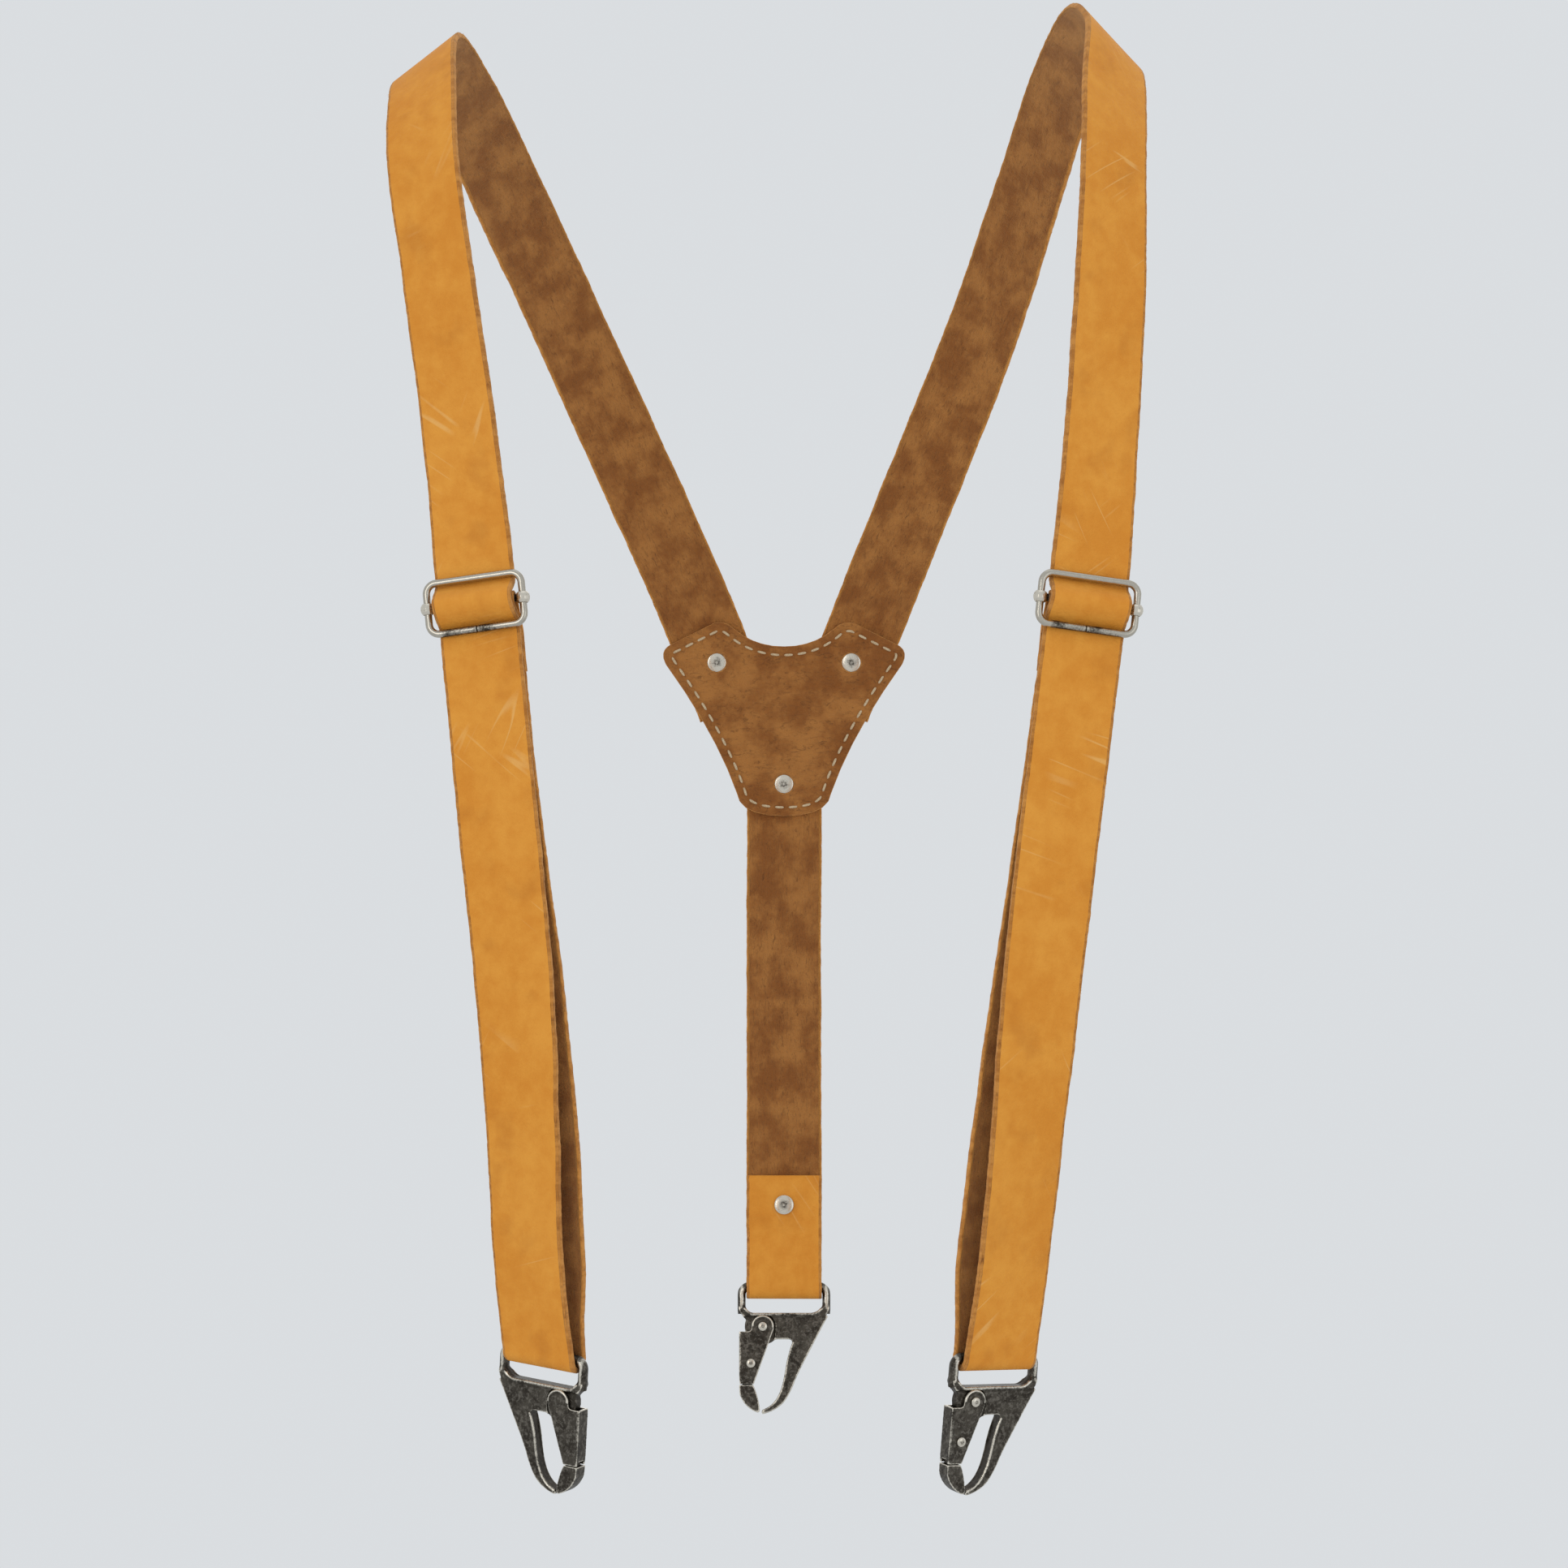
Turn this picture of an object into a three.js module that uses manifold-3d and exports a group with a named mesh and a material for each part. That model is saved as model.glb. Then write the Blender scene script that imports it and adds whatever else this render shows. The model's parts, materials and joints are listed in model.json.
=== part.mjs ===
// Leather suspenders with three belt-loop hooks: two front straps that run over the shoulders to a
// Y-shaped junction patch, a rear strap, two sliding adjusters and three sprung hooks.
// Millimetres, +Z up, the front faces -Y. The origin is midway between the two shoulder crests.
import * as THREE from "three";
import * as BufferGeometryUtils from "three/addons/utils/BufferGeometryUtils.js";
import Module from "manifold-3d";

// Driving dimensions: leather
const strapWidth = 25.4;
const strapThickness = 2.0;
const skivedThickness = 1.0;        // strap end, thinned where it wraps the adjuster's bar
const patchThickness = 1.8;
const loopOpening = 9.0;            // between the middles of the two plies above a front hook
const rearSeamHeight = 27;          // from the rear hook's bar up to the rivet that closes the loop

// Driving dimensions: adjuster
const frameWireRadius = 1.15;
const frameInnerHeight = 13.7;
const frameCornerRadius = 2.2;
const barRadius = 1.2;
const barEyeRadius = 2.35;          // the bar's round end, which rides on the frame's side rail
const adjusterTravel = 60;          // each way along the strap

// Driving dimensions: hook
const hookThickness = 4.0;
const stubThickness = 3.0;          // where the gate straddles the hook
const hookBarRadius = 1.3;
const slotHeight = 7.8;
const postWidth = 2.6;
const crotchDepth = 8.9;            // below the slot's lower edge
const pivotDepth = 4.6;
const pivotSide = 7.2;
const earRadius = 3.8;
const cheekThickness = 0.8;
const leverLength = 24;             // slot's lower edge to the cheeks' lower edge
const jawTipDepth = 33.6;

// Driving dimensions: fasteners
const rivetRadius = 1.5;
const rivetHeadRadius = 3.3;
const rivetHeadHeight = 0.9;
const gateRivetRadius = 1.0;
const gateRivetHeadRadius = 1.75;
const endRivetHeadRadius = 2.4;
const endRivetStation = 15.5;       // below the adjuster, along the strap
const endRivetDepth = 3.45;         // behind the middle of the front ply

// Clearances
const seat = 0.3;                   // between pieces that rest on each other
const runningGap = 0.2;             // bar in its eye, wire in the bar's end, rivet in its hole
const slotPlay = 0.3;               // each side of the strap in the hook's slot

// Derived sizes
const frameHeight = frameInnerHeight + 2 * frameWireRadius;                    // wire centre to wire centre
const frameWidth = strapWidth + 2 * (seat + 1.1) + 2 * frameWireRadius;
const frameForward = frameWireRadius + seat + strapThickness / 2;   // frame plane ahead of the strap
const eyeWrapRadius = barRadius + runningGap + skivedThickness / 2;            // middle of the skived wrap
const foldRadius = hookThickness / 2 + seat + strapThickness / 2;   // middle of the strap at a fold
const slotHalf = strapWidth / 2 + slotPlay;
const slotEdge = -(hookBarRadius + slotHeight);                     // slot's lower edge, hook frame
const stubRadius = 6.1;
const channelInner = stubThickness + 2 * seat;
const channelDepth = channelInner + 2 * cheekThickness;
const leverEdge = slotHalf + postWidth - 0.4;                       // outer face of the gate's spine

const honeyLeather = { color: 0xe0983e, roughness: 0.75, metalness: 0 };
const brownLeather = { color: 0x96601f, roughness: 0.9, metalness: 0 };
const agedNickel = { color: 0x77736a, roughness: 0.38, metalness: 0.95 };
const brightNickel = { color: 0xb9b4a8, roughness: 0.3, metalness: 0.95 };
const springSteel = { color: 0x5b5d60, roughness: 0.4, metalness: 0.9 };

const suspenders = new THREE.Group();

// ---- Solids ---------------------------------------------------------------------------------

const wasm = await Module();
wasm.setup();

function toSolid(geometry) {
  const bare = new THREE.BufferGeometry();
  bare.setAttribute("position", geometry.getAttribute("position").clone());
  if (geometry.index) bare.setIndex(geometry.index.clone());
  const merged = BufferGeometryUtils.mergeVertices(bare, 1e-4);
  return new wasm.Manifold(new wasm.Mesh({
    numProp: 3,
    vertProperties: new Float32Array(merged.getAttribute("position").array),
    triVerts: new Uint32Array(merged.index.array),
  }));
}

function toGeometry(solid) {
  const mesh = solid.getMesh();
  const geometry = new THREE.BufferGeometry();
  geometry.setAttribute("position", new THREE.BufferAttribute(new Float32Array(mesh.vertProperties), 3));
  geometry.setIndex(new THREE.BufferAttribute(new Uint32Array(mesh.triVerts), 1));
  return geometry;
}

function cut(geometry, ...tools) {
  return toGeometry(tools.reduce((solid, tool) => solid.subtract(toSolid(tool)), toSolid(geometry)));
}

function join(...geometries) {
  const [first, ...rest] = geometries.map(toSolid);
  return toGeometry(rest.reduce((solid, next) => solid.add(next), first));
}

function addPiece(parent, name, geometry, finish) {
  const mesh = new THREE.Mesh(geometry, new THREE.MeshStandardMaterial(finish));
  mesh.name = name;
  parent.add(mesh);
  return mesh;
}

// A closed surface whose faces are turned to point outwards.
function outwardSurface(points, faces) {
  const volume = faces.reduce((sum, [a, b, c]) => (
    sum + points[a].dot(new THREE.Vector3().crossVectors(points[b], points[c]))), 0);
  const outward = volume > 0 ? faces : faces.map(([a, b, c]) => [a, c, b]);
  const geometry = new THREE.BufferGeometry();
  geometry.setFromPoints(points);
  geometry.setIndex(outward.flat());
  return geometry;
}

// Closed solid through a row of rings, each with the same number of points, with flat ends.
function loft(rings) {
  const count = rings[0].length;
  const points = rings.flat();
  const faces = [];
  for (let ring = 0; ring + 1 < rings.length; ring += 1) {
    for (let k = 0; k < count; k += 1) {
      const a = ring * count + k;
      const b = ring * count + (k + 1) % count;
      faces.push([a, b, b + count], [a, b + count, a + count]);
    }
  }
  const last = (rings.length - 1) * count;
  for (let k = 1; k + 1 < count; k += 1) {
    faces.push([0, k + 1, k], [last, last + k, last + k + 1]);
  }
  return outwardSurface(points, faces);
}

// A strip of leather through a row of places, each with its point, its direction across the strip
// (towards the inner edge), its outward normal and its thickness.
function strip(places, width = strapWidth) {
  return loft(places.map(({ point, across, normal, thickness = strapThickness }) => {
    const side = across.clone().multiplyScalar(width / 2);
    const rise = normal.clone().multiplyScalar(thickness / 2);
    return [
      point.clone().add(side).add(rise),
      point.clone().sub(side).add(rise),
      point.clone().sub(side).sub(rise),
      point.clone().add(side).sub(rise),
    ];
  }));
}

function extruded(shape, depth, middle = true, curveSegments = 8) {
  const geometry = new THREE.ExtrudeGeometry(shape, { depth, bevelEnabled: false, curveSegments });
  return middle ? geometry.translate(0, 0, -depth / 2) : geometry;
}

// Rivet along Z: a shank with a domed head at each end; low and high are the heads' inner faces.
function rivet(low, high, shank, head, height, topHeight = height) {
  const profile = [
    [0, low - height], [head * 0.55, low - height * 0.85], [head * 0.9, low - height * 0.4],
    [head, low], [shank, low], [shank, high],
    [head, high], [head * 0.9, high + topHeight * 0.4], [head * 0.55, high + topHeight * 0.85],
    [0, high + topHeight],
  ];
  const turned = new THREE.LatheGeometry(profile.map(([r, z]) => new THREE.Vector2(r, z)), 12);
  return turned.rotateX(Math.PI / 2);
}

function drill(radius, length) {
  return new THREE.CylinderGeometry(radius, radius, length, 12).rotateX(Math.PI / 2);
}

// ---- Strap routes ---------------------------------------------------------------------------

// Each station is [distance out from the middle, y, z, yaw, rise]. Yaw turns the strap's face
// outwards and rise lifts its inner edge, in degrees. They run from the junction patch, over the
// shoulder and down the front to the hook.
const leftRoute = [
  [14.6, 111, -216, 0, 21],
  [23.0, 111, -194.5, 0, 21],
  [31.4, 111, -173, 0, 22],
  [52, 105.5, -127, -6, 26],
  [72, 93, -83, -12, 32],
  [90, 72, -44, -14, 37],
  [104, 43, -15, -8, 40],
  [113, 12, -1, 0, 40],
  [116, -14, -3, 8, 36],
  [115.6, -38, -17, 18, 26],
  [114.2, -57, -39, 26, 14],
  [107.5, -76, -82, 27, 8],
  [98.9, -93.5, -142, 21, 7],
  [94.9, -101, -180.5, 12, 7],
  [88.3, -108.5, -245, 11, 6],
  [83.2, -111.5, -295, 16, 5],
  [80.3, -111.5, -345, 28, 2],
  [78.6, -110, -385, 32, -3],
  [75.6, -108.5, -412, 30, -7],
];
const rightRoute = [
  [14.6, 111, -216, 0, 21],
  [23.0, 111, -194.5, 0, 21],
  [31.4, 111, -173, 0, 22],
  [50, 105.5, -127, -6, 27],
  [68, 93.5, -81, -12, 34],
  [82, 75, -38, -14, 42],
  [93, 50, -4, -10, 48],
  [101, 18, 9, 0, 50],
  [106.5, -10, 3, 12, 44],
  [105.6, -36, -15, 24, 30],
  [104.3, -57, -39, 33, 14],
  [102.1, -76, -82, 28, 6],
  [97.5, -93.5, -142, 22, 7],
  [93.6, -101, -180.5, 10, 8],
  [85.6, -108.5, -245, 10, 7],
  [79.7, -111.5, -295, 15, 6],
  [74.7, -111.5, -345, 28, 5],
  [70.6, -110, -385, 32, 3],
  [66.6, -108.5, -413, 30, 1.5],
];
const adjusterStation = 13;
const rearTop = -221;               // top of the rear strap under the patch
const junctionDepth = 111;          // the patch's plane
const rearBar = { y: 89, z: -406 };

// A route's places at equal steps of length, with s = 0 at the adjuster and growing downwards.
function layRoute(stations, side) {
  const curve = new THREE.CatmullRomCurve3(
    stations.map(([out, y, z]) => new THREE.Vector3(side * out, y, z)), false, "centripetal");
  const turns = new THREE.CatmullRomCurve3(
    stations.map(([, , , yaw, rise]) => new THREE.Vector3(yaw, rise, 0)), false, "catmullrom");
  const samples = 40 * (stations.length - 1);
  const lengths = [0];
  for (let k = 1; k <= samples; k += 1) {
    const stride = curve.getPoint(k / samples).distanceTo(curve.getPoint((k - 1) / samples));
    lengths.push(lengths[k - 1] + stride);
  }
  const zero = lengths[40 * adjusterStation];
  const place = (s) => {
    let k = lengths.findIndex((length) => length > s + zero) - 1;
    if (k < 0) k = s < 0 ? 0 : samples - 1;
    const share = (s + zero - lengths[k]) / (lengths[k + 1] - lengths[k]);
    const t = THREE.MathUtils.clamp((k + share) / samples, 0, 1);
    const turn = turns.getPoint(t);
    const yaw = THREE.MathUtils.degToRad(turn.x);
    const rise = THREE.MathUtils.degToRad(turn.y);
    const tangent = curve.getTangent(t);
    const across = new THREE.Vector3(
      -side * Math.cos(yaw) * Math.cos(rise), -Math.sin(yaw) * Math.cos(rise), Math.sin(rise));
    const normal = new THREE.Vector3().crossVectors(tangent, across).multiplyScalar(-side).normalize();
    return { point: curve.getPoint(t), across, normal, tangent };
  };
  return { place, start: -zero, end: lengths[samples] - zero };
}

// The place at s, moved out along the normal and in across the strap.
function shifted(route, s, out, inward = 0, thickness = strapThickness) {
  const { point, across, normal, tangent } = route.place(s);
  return {
    point: point.clone().addScaledVector(normal, out).addScaledVector(across, inward),
    across,
    normal,
    tangent,
    thickness,
  };
}

function run(route, from, to, step, offset = () => [0, 0]) {
  const count = Math.max(1, Math.round(Math.abs(to - from) / step));
  return Array.from({ length: count + 1 }, (_, k) => {
    const s = from + (to - from) * k / count;
    return shifted(route, s, ...offset(s));
  });
}

// Gives each place the normal of the path that its own neighbours draw, for tight bends.
function squared(places, side) {
  return places.map((place, k) => {
    const before = places[Math.max(0, k - 1)].point;
    const after = places[Math.min(places.length - 1, k + 1)].point;
    const along = new THREE.Vector3().subVectors(after, before);
    const normal = new THREE.Vector3().crossVectors(along, place.across).multiplyScalar(-side).normalize();
    return { ...place, normal };
  });
}

// Group whose X runs across the strap, Y up it and Z along right x up, at a place on the route.
function seatedGroup(parent, origin, right, up) {
  const x = right.clone().normalize();
  const y = up.clone().addScaledVector(x, -up.dot(x)).normalize();
  const z = new THREE.Vector3().crossVectors(x, y);
  const group = new THREE.Group();
  group.position.copy(origin);
  group.quaternion.setFromRotationMatrix(new THREE.Matrix4().makeBasis(x, y, z));
  parent.add(group);
  return group;
}

// ---- Adjuster -------------------------------------------------------------------------------

// Rounded wire rectangle in the XY plane.
function wireFrame() {
  const halfX = frameWidth / 2;
  const halfY = frameHeight / 2;
  const outline = new THREE.Shape();
  const corner = frameCornerRadius;
  outline.moveTo(0, -halfY);
  outline.lineTo(halfX - corner, -halfY);
  outline.absarc(halfX - corner, -halfY + corner, corner, -Math.PI / 2, 0, false);
  outline.absarc(halfX - corner, halfY - corner, corner, 0, Math.PI / 2, false);
  outline.absarc(-halfX + corner, halfY - corner, corner, Math.PI / 2, Math.PI, false);
  outline.absarc(-halfX + corner, -halfY + corner, corner, Math.PI, 1.5 * Math.PI, false);
  outline.lineTo(0, -halfY);
  const middle = outline.getPoints(3).slice(0, -1);
  const clean = middle.filter((point, k) => point.distanceTo(middle[(k + 1) % middle.length]) > 0.05);
  const sides = 8;
  const rings = clean.map((point, k) => {
    const before = clean[(k + clean.length - 1) % clean.length];
    const after = clean[(k + 1) % clean.length];
    const inDirection = point.clone().sub(before).normalize();
    const outDirection = after.clone().sub(point).normalize();
    const along = inDirection.clone().add(outDirection).normalize();
    const stretch = 1 / along.dot(outDirection);
    return Array.from({ length: sides }, (_, j) => {
      const angle = 2 * Math.PI * j / sides;
      const reach = frameWireRadius * Math.cos(angle) * stretch;
      return new THREE.Vector3(
        point.x + along.y * reach, point.y - along.x * reach, frameWireRadius * Math.sin(angle));
    });
  });
  return closedLoft(rings);
}

// Loft whose last ring joins its first.
function closedLoft(rings) {
  const count = rings[0].length;
  const faces = [];
  for (let ring = 0; ring < rings.length; ring += 1) {
    const next = (ring + 1) % rings.length;
    for (let k = 0; k < count; k += 1) {
      const a = ring * count + k;
      const b = ring * count + (k + 1) % count;
      const c = next * count + (k + 1) % count;
      const d = next * count + k;
      faces.push([a, c, b], [a, d, c]);
    }
  }
  const points = rings.flat();
  return outwardSurface(points, faces);
}

// Sliding bar: a rod with a round eye at each end that rides on the frame's side rails.
function slideBar() {
  const railX = frameWidth / 2;
  const rod = new THREE.CylinderGeometry(barRadius, barRadius, 2 * railX, 12).rotateZ(Math.PI / 2);
  const ball = (side) => new THREE.SphereGeometry(barEyeRadius, 12, 8).translate(side * railX, 0, 0);
  const bore = (side) => new THREE.CylinderGeometry(
    frameWireRadius + runningGap, frameWireRadius + runningGap, 4 * barEyeRadius, 12)
    .translate(side * railX, 0, 0);
  return cut(join(rod, ball(-1), ball(1)), bore(-1), bore(1));
}

function buildAdjuster(suffix, route, side) {
  const { point, across, normal, tangent } = route.place(0);
  const origin = point.clone().addScaledVector(normal, frameForward);
  const right = across.clone().multiplyScalar(-side);
  const group = seatedGroup(suspenders, origin, right, tangent.clone().negate());
  addPiece(group, `adjuster_frame_${suffix}`, wireFrame(), agedNickel);
  addPiece(group, `adjuster_bar_${suffix}`, slideBar(), agedNickel);
}

// ---- Front straps ---------------------------------------------------------------------------

const passHalf = frameHeight / 2 - 0.6;                 // the strap rises over the bar between the wires
const passRise = frameForward + eyeWrapRadius + skivedThickness / 2 + seat + strapThickness / 2 + 0.5;
const travelTop = -(adjusterTravel + 27);               // the fixed run ends above the adjuster's reach
const adjusterReach = frameHeight / 2 + frameWireRadius + 3;   // half of the length that the adjuster carries
const pliesEnd = 4;                                     // plies stop this far above the hook's bar

// How far the front ply stands out of the route: over the bar in the adjuster, and away from the
// hook's bar at the fold.
function passLift(s) {
  return Math.abs(s) < passHalf ? passRise * (0.5 + 0.5 * Math.cos(Math.PI * s / passHalf)) : 0;
}

// How far the back ply lies behind the front ply, and how far inwards.
function backOffset(route, s) {
  const closed = strapThickness + seat;
  const fromHook = route.end - s;
  const down = THREE.MathUtils.smoothstep(s, 25, route.end - 30);
  const near = THREE.MathUtils.smoothstep(fromHook, 0, 30);
  const spread = closed + (loopOpening - closed) * down;
  const depth = 2 * foldRadius + (spread - 2 * foldRadius) * near;
  const inward = 2.2 * near * down;
  return [-depth, inward];
}

// Skived strap end: up behind the front ply, round the bar from the front, and down its back.
function skivedWrap(route) {
  const wrap = [
    [24, -2.6, strapThickness * 0.8],
    [18, -2.7, skivedThickness],
    [13, -2.75, skivedThickness],
    [10, -2.5, skivedThickness],
    [8, -2.3, skivedThickness],
    [6, -1.65, skivedThickness],
    [4.1, -0.3, skivedThickness],
  ];
  const turns = [20, 55, 90, 125, 160, 195, 230];
  turns.forEach((degrees) => {
    const angle = THREE.MathUtils.degToRad(degrees - 10);
    wrap.push([
      eyeWrapRadius * Math.cos(angle), frameForward + eyeWrapRadius * Math.sin(angle), skivedThickness]);
  });
  const tail = [[0.9, -1.0], [4, -2.2], [7, -3.4], [10, -4.0], [13, -4.15], [18, -4.15], [22, -4.15]];
  tail.forEach(([s, out]) => wrap.push([s, out, skivedThickness]));
  return wrap.map(([s, out, thickness]) => {
    const { point, across, normal, tangent } = route.place(0);
    return {
      point: point.clone().addScaledVector(tangent, s).addScaledVector(normal, out),
      across,
      normal,
      thickness,
    };
  });
}

function buildFrontStrap(suffix, route, side) {
  const fixed = run(route, route.start, travelTop, 8);
  const stitchedHole = drillAt(patchRivetPlaces(side), rivetRadius + runningGap, 12);
  addPiece(suspenders, `shoulder_strap_${suffix}`, cut(strip(fixed), stitchedHole), honeyLeather);

  const travel = run(route, travelTop + 0.2, -adjusterReach - 0.2, 8);
  addPiece(suspenders, `strap_travel_${suffix}`, strip(travel), honeyLeather);

  const through = run(route, -adjusterReach, adjusterReach, 1.25, (s) => [passLift(s)]);
  const below = run(route, adjusterReach + 8, route.end - pliesEnd, 8);
  const front = squared([...through, ...below], side);
  addPiece(suspenders, `strap_front_ply_${suffix}`, strip(front), honeyLeather);

  const rise = run(route, route.end - pliesEnd, 32, 8, (s) => backOffset(route, s));
  const backPlaces = squared([...rise, ...skivedWrap(route)], -side);
  const { point, across, normal, tangent } = route.place(0);
  const rivetPlace = point.clone()
    .addScaledVector(tangent, endRivetStation).addScaledVector(normal, -endRivetDepth);
  const backHole = drill(gateRivetRadius + runningGap, 8);
  const inner = across.clone().multiplyScalar(-side);
  const endGroup = seatedGroup(suspenders, rivetPlace, inner, tangent.clone().negate());
  endGroup.updateMatrixWorld(true);
  backHole.applyMatrix4(endGroup.matrixWorld);
  addPiece(suspenders, `strap_back_ply_${suffix}`, cut(strip(backPlaces), backHole), brownLeather);
  const reach = skivedThickness + 0.35;
  addPiece(
    endGroup, `strap_end_rivet_${suffix}`,
    rivet(-reach, reach - 0.1, gateRivetRadius, endRivetHeadRadius, 0.7, 0.2), brightNickel);

  // The fold round the hook's bar.
  const end = route.place(route.end);
  const barCentre = end.point.clone().addScaledVector(end.normal, -foldRadius);
  const down = end.tangent.clone().addScaledVector(end.across, -end.tangent.dot(end.across)).normalize();
  const steps = 12;
  const bend = Array.from({ length: steps + 1 }, (_, k) => {
    const angle = Math.PI * k / steps;
    return {
      point: barCentre.clone()
        .addScaledVector(end.normal, foldRadius * Math.cos(angle))
        .addScaledVector(down, foldRadius * Math.sin(angle)),
      across: end.across,
      normal: end.normal.clone().multiplyScalar(Math.cos(angle)).addScaledVector(down, Math.sin(angle)),
    };
  });
  const lead = pliesEnd - 0.3;
  const frontLead = shifted(route, route.end - lead, 0);
  const backLead = shifted(route, route.end - lead, ...backOffset(route, route.end - lead));
  backLead.normal = backLead.normal.clone().negate();
  addPiece(suspenders, `strap_fold_${suffix}`, strip([frontLead, ...bend, backLead]), honeyLeather);
  return { barCentre, across: end.across, down };
}

// ---- Junction patch and rear strap ----------------------------------------------------------

const patchTop = -181;
const patchBottom = -247;
const rearRivetHeight = -236;

// Triangular patch with a hollow top edge and rounded corners, drawn in X and Z.
function patchShape() {
  const shape = new THREE.Shape();
  const shoulder = 43;
  const foot = strapWidth / 2 + 3.5;
  shape.moveTo(0, patchTop - 8);
  shape.quadraticCurveTo(10, patchTop - 8, 17, patchTop - 2);
  shape.quadraticCurveTo(20, patchTop + 1, 24, patchTop);
  shape.lineTo(shoulder - 5, patchTop - 7);
  shape.quadraticCurveTo(shoulder, patchTop - 9, shoulder - 2.5, patchTop - 14);
  shape.quadraticCurveTo(foot + 7, patchTop - 38, foot, patchBottom + 8);
  shape.quadraticCurveTo(foot - 1, patchBottom, 0, patchBottom);
  shape.quadraticCurveTo(-foot + 1, patchBottom, -foot, patchBottom + 8);
  shape.quadraticCurveTo(-foot - 7, patchTop - 38, -shoulder + 2.5, patchTop - 14);
  shape.quadraticCurveTo(-shoulder, patchTop - 9, -shoulder + 5, patchTop - 7);
  shape.lineTo(-24, patchTop);
  shape.quadraticCurveTo(-20, patchTop + 1, -17, patchTop - 2);
  shape.quadraticCurveTo(-10, patchTop - 8, 0, patchTop - 8);
  return shape;
}

// The rivets of the patch: one through each front strap's end and one through the rear strap.
function patchRivetPlaces(side) {
  if (side === 0) return new THREE.Vector3(0, junctionDepth, rearRivetHeight);
  return new THREE.Vector3(side * leftRoute[1][0], junctionDepth, leftRoute[1][2]);
}

function drillAt(place, radius, length) {
  return drill(radius, length).rotateX(Math.PI / 2).translate(place.x, place.y, place.z);
}

function buildPatch() {
  const places = [-1, 1, 0].map(patchRivetPlaces);
  const outerFace = junctionDepth + strapThickness / 2 + seat;
  const innerFace = junctionDepth - strapThickness / 2 - seat;
  const holes = places.map((place) => drillAt(place, rivetRadius + runningGap, 20));
  const sunk = rivetHeadHeight + 0.15;
  const recesses = places.map((place) => drillAt(
    new THREE.Vector3(place.x, innerFace - patchThickness, place.z), rivetHeadRadius + runningGap, 2 * sunk));
  const blank = () => extruded(patchShape(), patchThickness, false, 5).rotateX(Math.PI / 2);
  const outer = blank().translate(0, outerFace + patchThickness, 0);
  const inner = blank().translate(0, innerFace, 0);
  addPiece(suspenders, "junction_patch_outer", cut(outer, ...holes), honeyLeather);
  addPiece(suspenders, "junction_patch_lining", cut(inner, ...holes, ...recesses), brownLeather);
  ["left", "right", "rear"].forEach((suffix, k) => {
    const top = outerFace + patchThickness + runningGap - junctionDepth;
    const bottom = innerFace - patchThickness + sunk - runningGap - junctionDepth;
    const body = rivet(-top, -bottom, rivetRadius, rivetHeadRadius, rivetHeadHeight, 0.7);
    const mesh = addPiece(suspenders, `patch_rivet_${suffix}`, body, brightNickel);
    mesh.rotation.x = Math.PI / 2;
    mesh.position.copy(places[k]);
  });
}

function buildRearStrap() {
  const outline = new THREE.CatmullRomCurve3([
    new THREE.Vector3(0, junctionDepth, rearTop),
    new THREE.Vector3(0, junctionDepth, rearTop - 15),
    new THREE.Vector3(0, junctionDepth, rearTop - 30),
    new THREE.Vector3(0, 107.5, -292),
    new THREE.Vector3(0, 100.5, -342),
    new THREE.Vector3(0, 95.2, -380),
    new THREE.Vector3(0, rearBar.y + foldRadius, rearBar.z),
  ], false, "centripetal");
  const across = new THREE.Vector3(1, 0, 0);
  const length = outline.getLength();
  const outer = Array.from({ length: 29 }, (_, k) => {
    const tangent = outline.getTangentAt(k / 28);
    const normal = new THREE.Vector3().crossVectors(across, tangent);
    return { point: outline.getPointAt(k / 28), across, normal };
  });
  const bend = Array.from({ length: 11 }, (_, k) => {
    const angle = Math.PI * (k + 1) / 12;
    const normal = new THREE.Vector3(0, Math.cos(angle), -Math.sin(angle));
    const centre = new THREE.Vector3(0, rearBar.y, rearBar.z);
    return { point: centre.addScaledVector(normal, foldRadius), across, normal };
  });
  const tailLength = rearSeamHeight + 10;
  const closed = strapThickness + seat;
  const tail = Array.from({ length: 8 }, (_, k) => {
    const up = tailLength * k / 7;
    const at = 1 - up / length;
    const tangent = outline.getTangentAt(at);
    const normal = new THREE.Vector3().crossVectors(across, tangent);
    const near = THREE.MathUtils.smoothstep(up, 0, rearSeamHeight - 6);
    const depth = 2 * foldRadius + (closed - 2 * foldRadius) * near;
    const point = outline.getPointAt(at).addScaledVector(normal, -depth);
    return { point, across, normal: normal.clone().negate() };
  });
  const seam = outline.getPointAt(1 - rearSeamHeight / length);
  const slope = outline.getTangentAt(1 - rearSeamHeight / length);
  const face = new THREE.Vector3().crossVectors(across, slope);
  const seamCentre = seam.clone().addScaledVector(face, -closed / 2);
  const seamGroup = seatedGroup(suspenders, seamCentre, across.clone().negate(), slope.clone().negate());
  seamGroup.updateMatrixWorld(true);
  const hole = drill(rivetRadius + runningGap, 12).applyMatrix4(seamGroup.matrixWorld);
  const patchHole = drillAt(patchRivetPlaces(0), rivetRadius + runningGap, 12);
  const strap = cut(strip([...outer, ...bend, ...tail]), hole, patchHole);
  addPiece(suspenders, "rear_strap", strap, honeyLeather);
  const half = closed / 2 + strapThickness / 2 + runningGap;
  addPiece(seamGroup, "rear_loop_rivet",
    rivet(-half, half, rivetRadius, rivetHeadRadius, rivetHeadHeight), brightNickel);
}

// ---- Hook -----------------------------------------------------------------------------------

// The hook's own frame: X towards the gate, Y up with 0 on the bar that carries the strap, Z out of
// the smooth face. below(d) is the height d under the slot's lower edge.
const below = (d) => slotEdge - d;
const pivot = new THREE.Vector2(pivotSide, below(pivotDepth));

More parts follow.
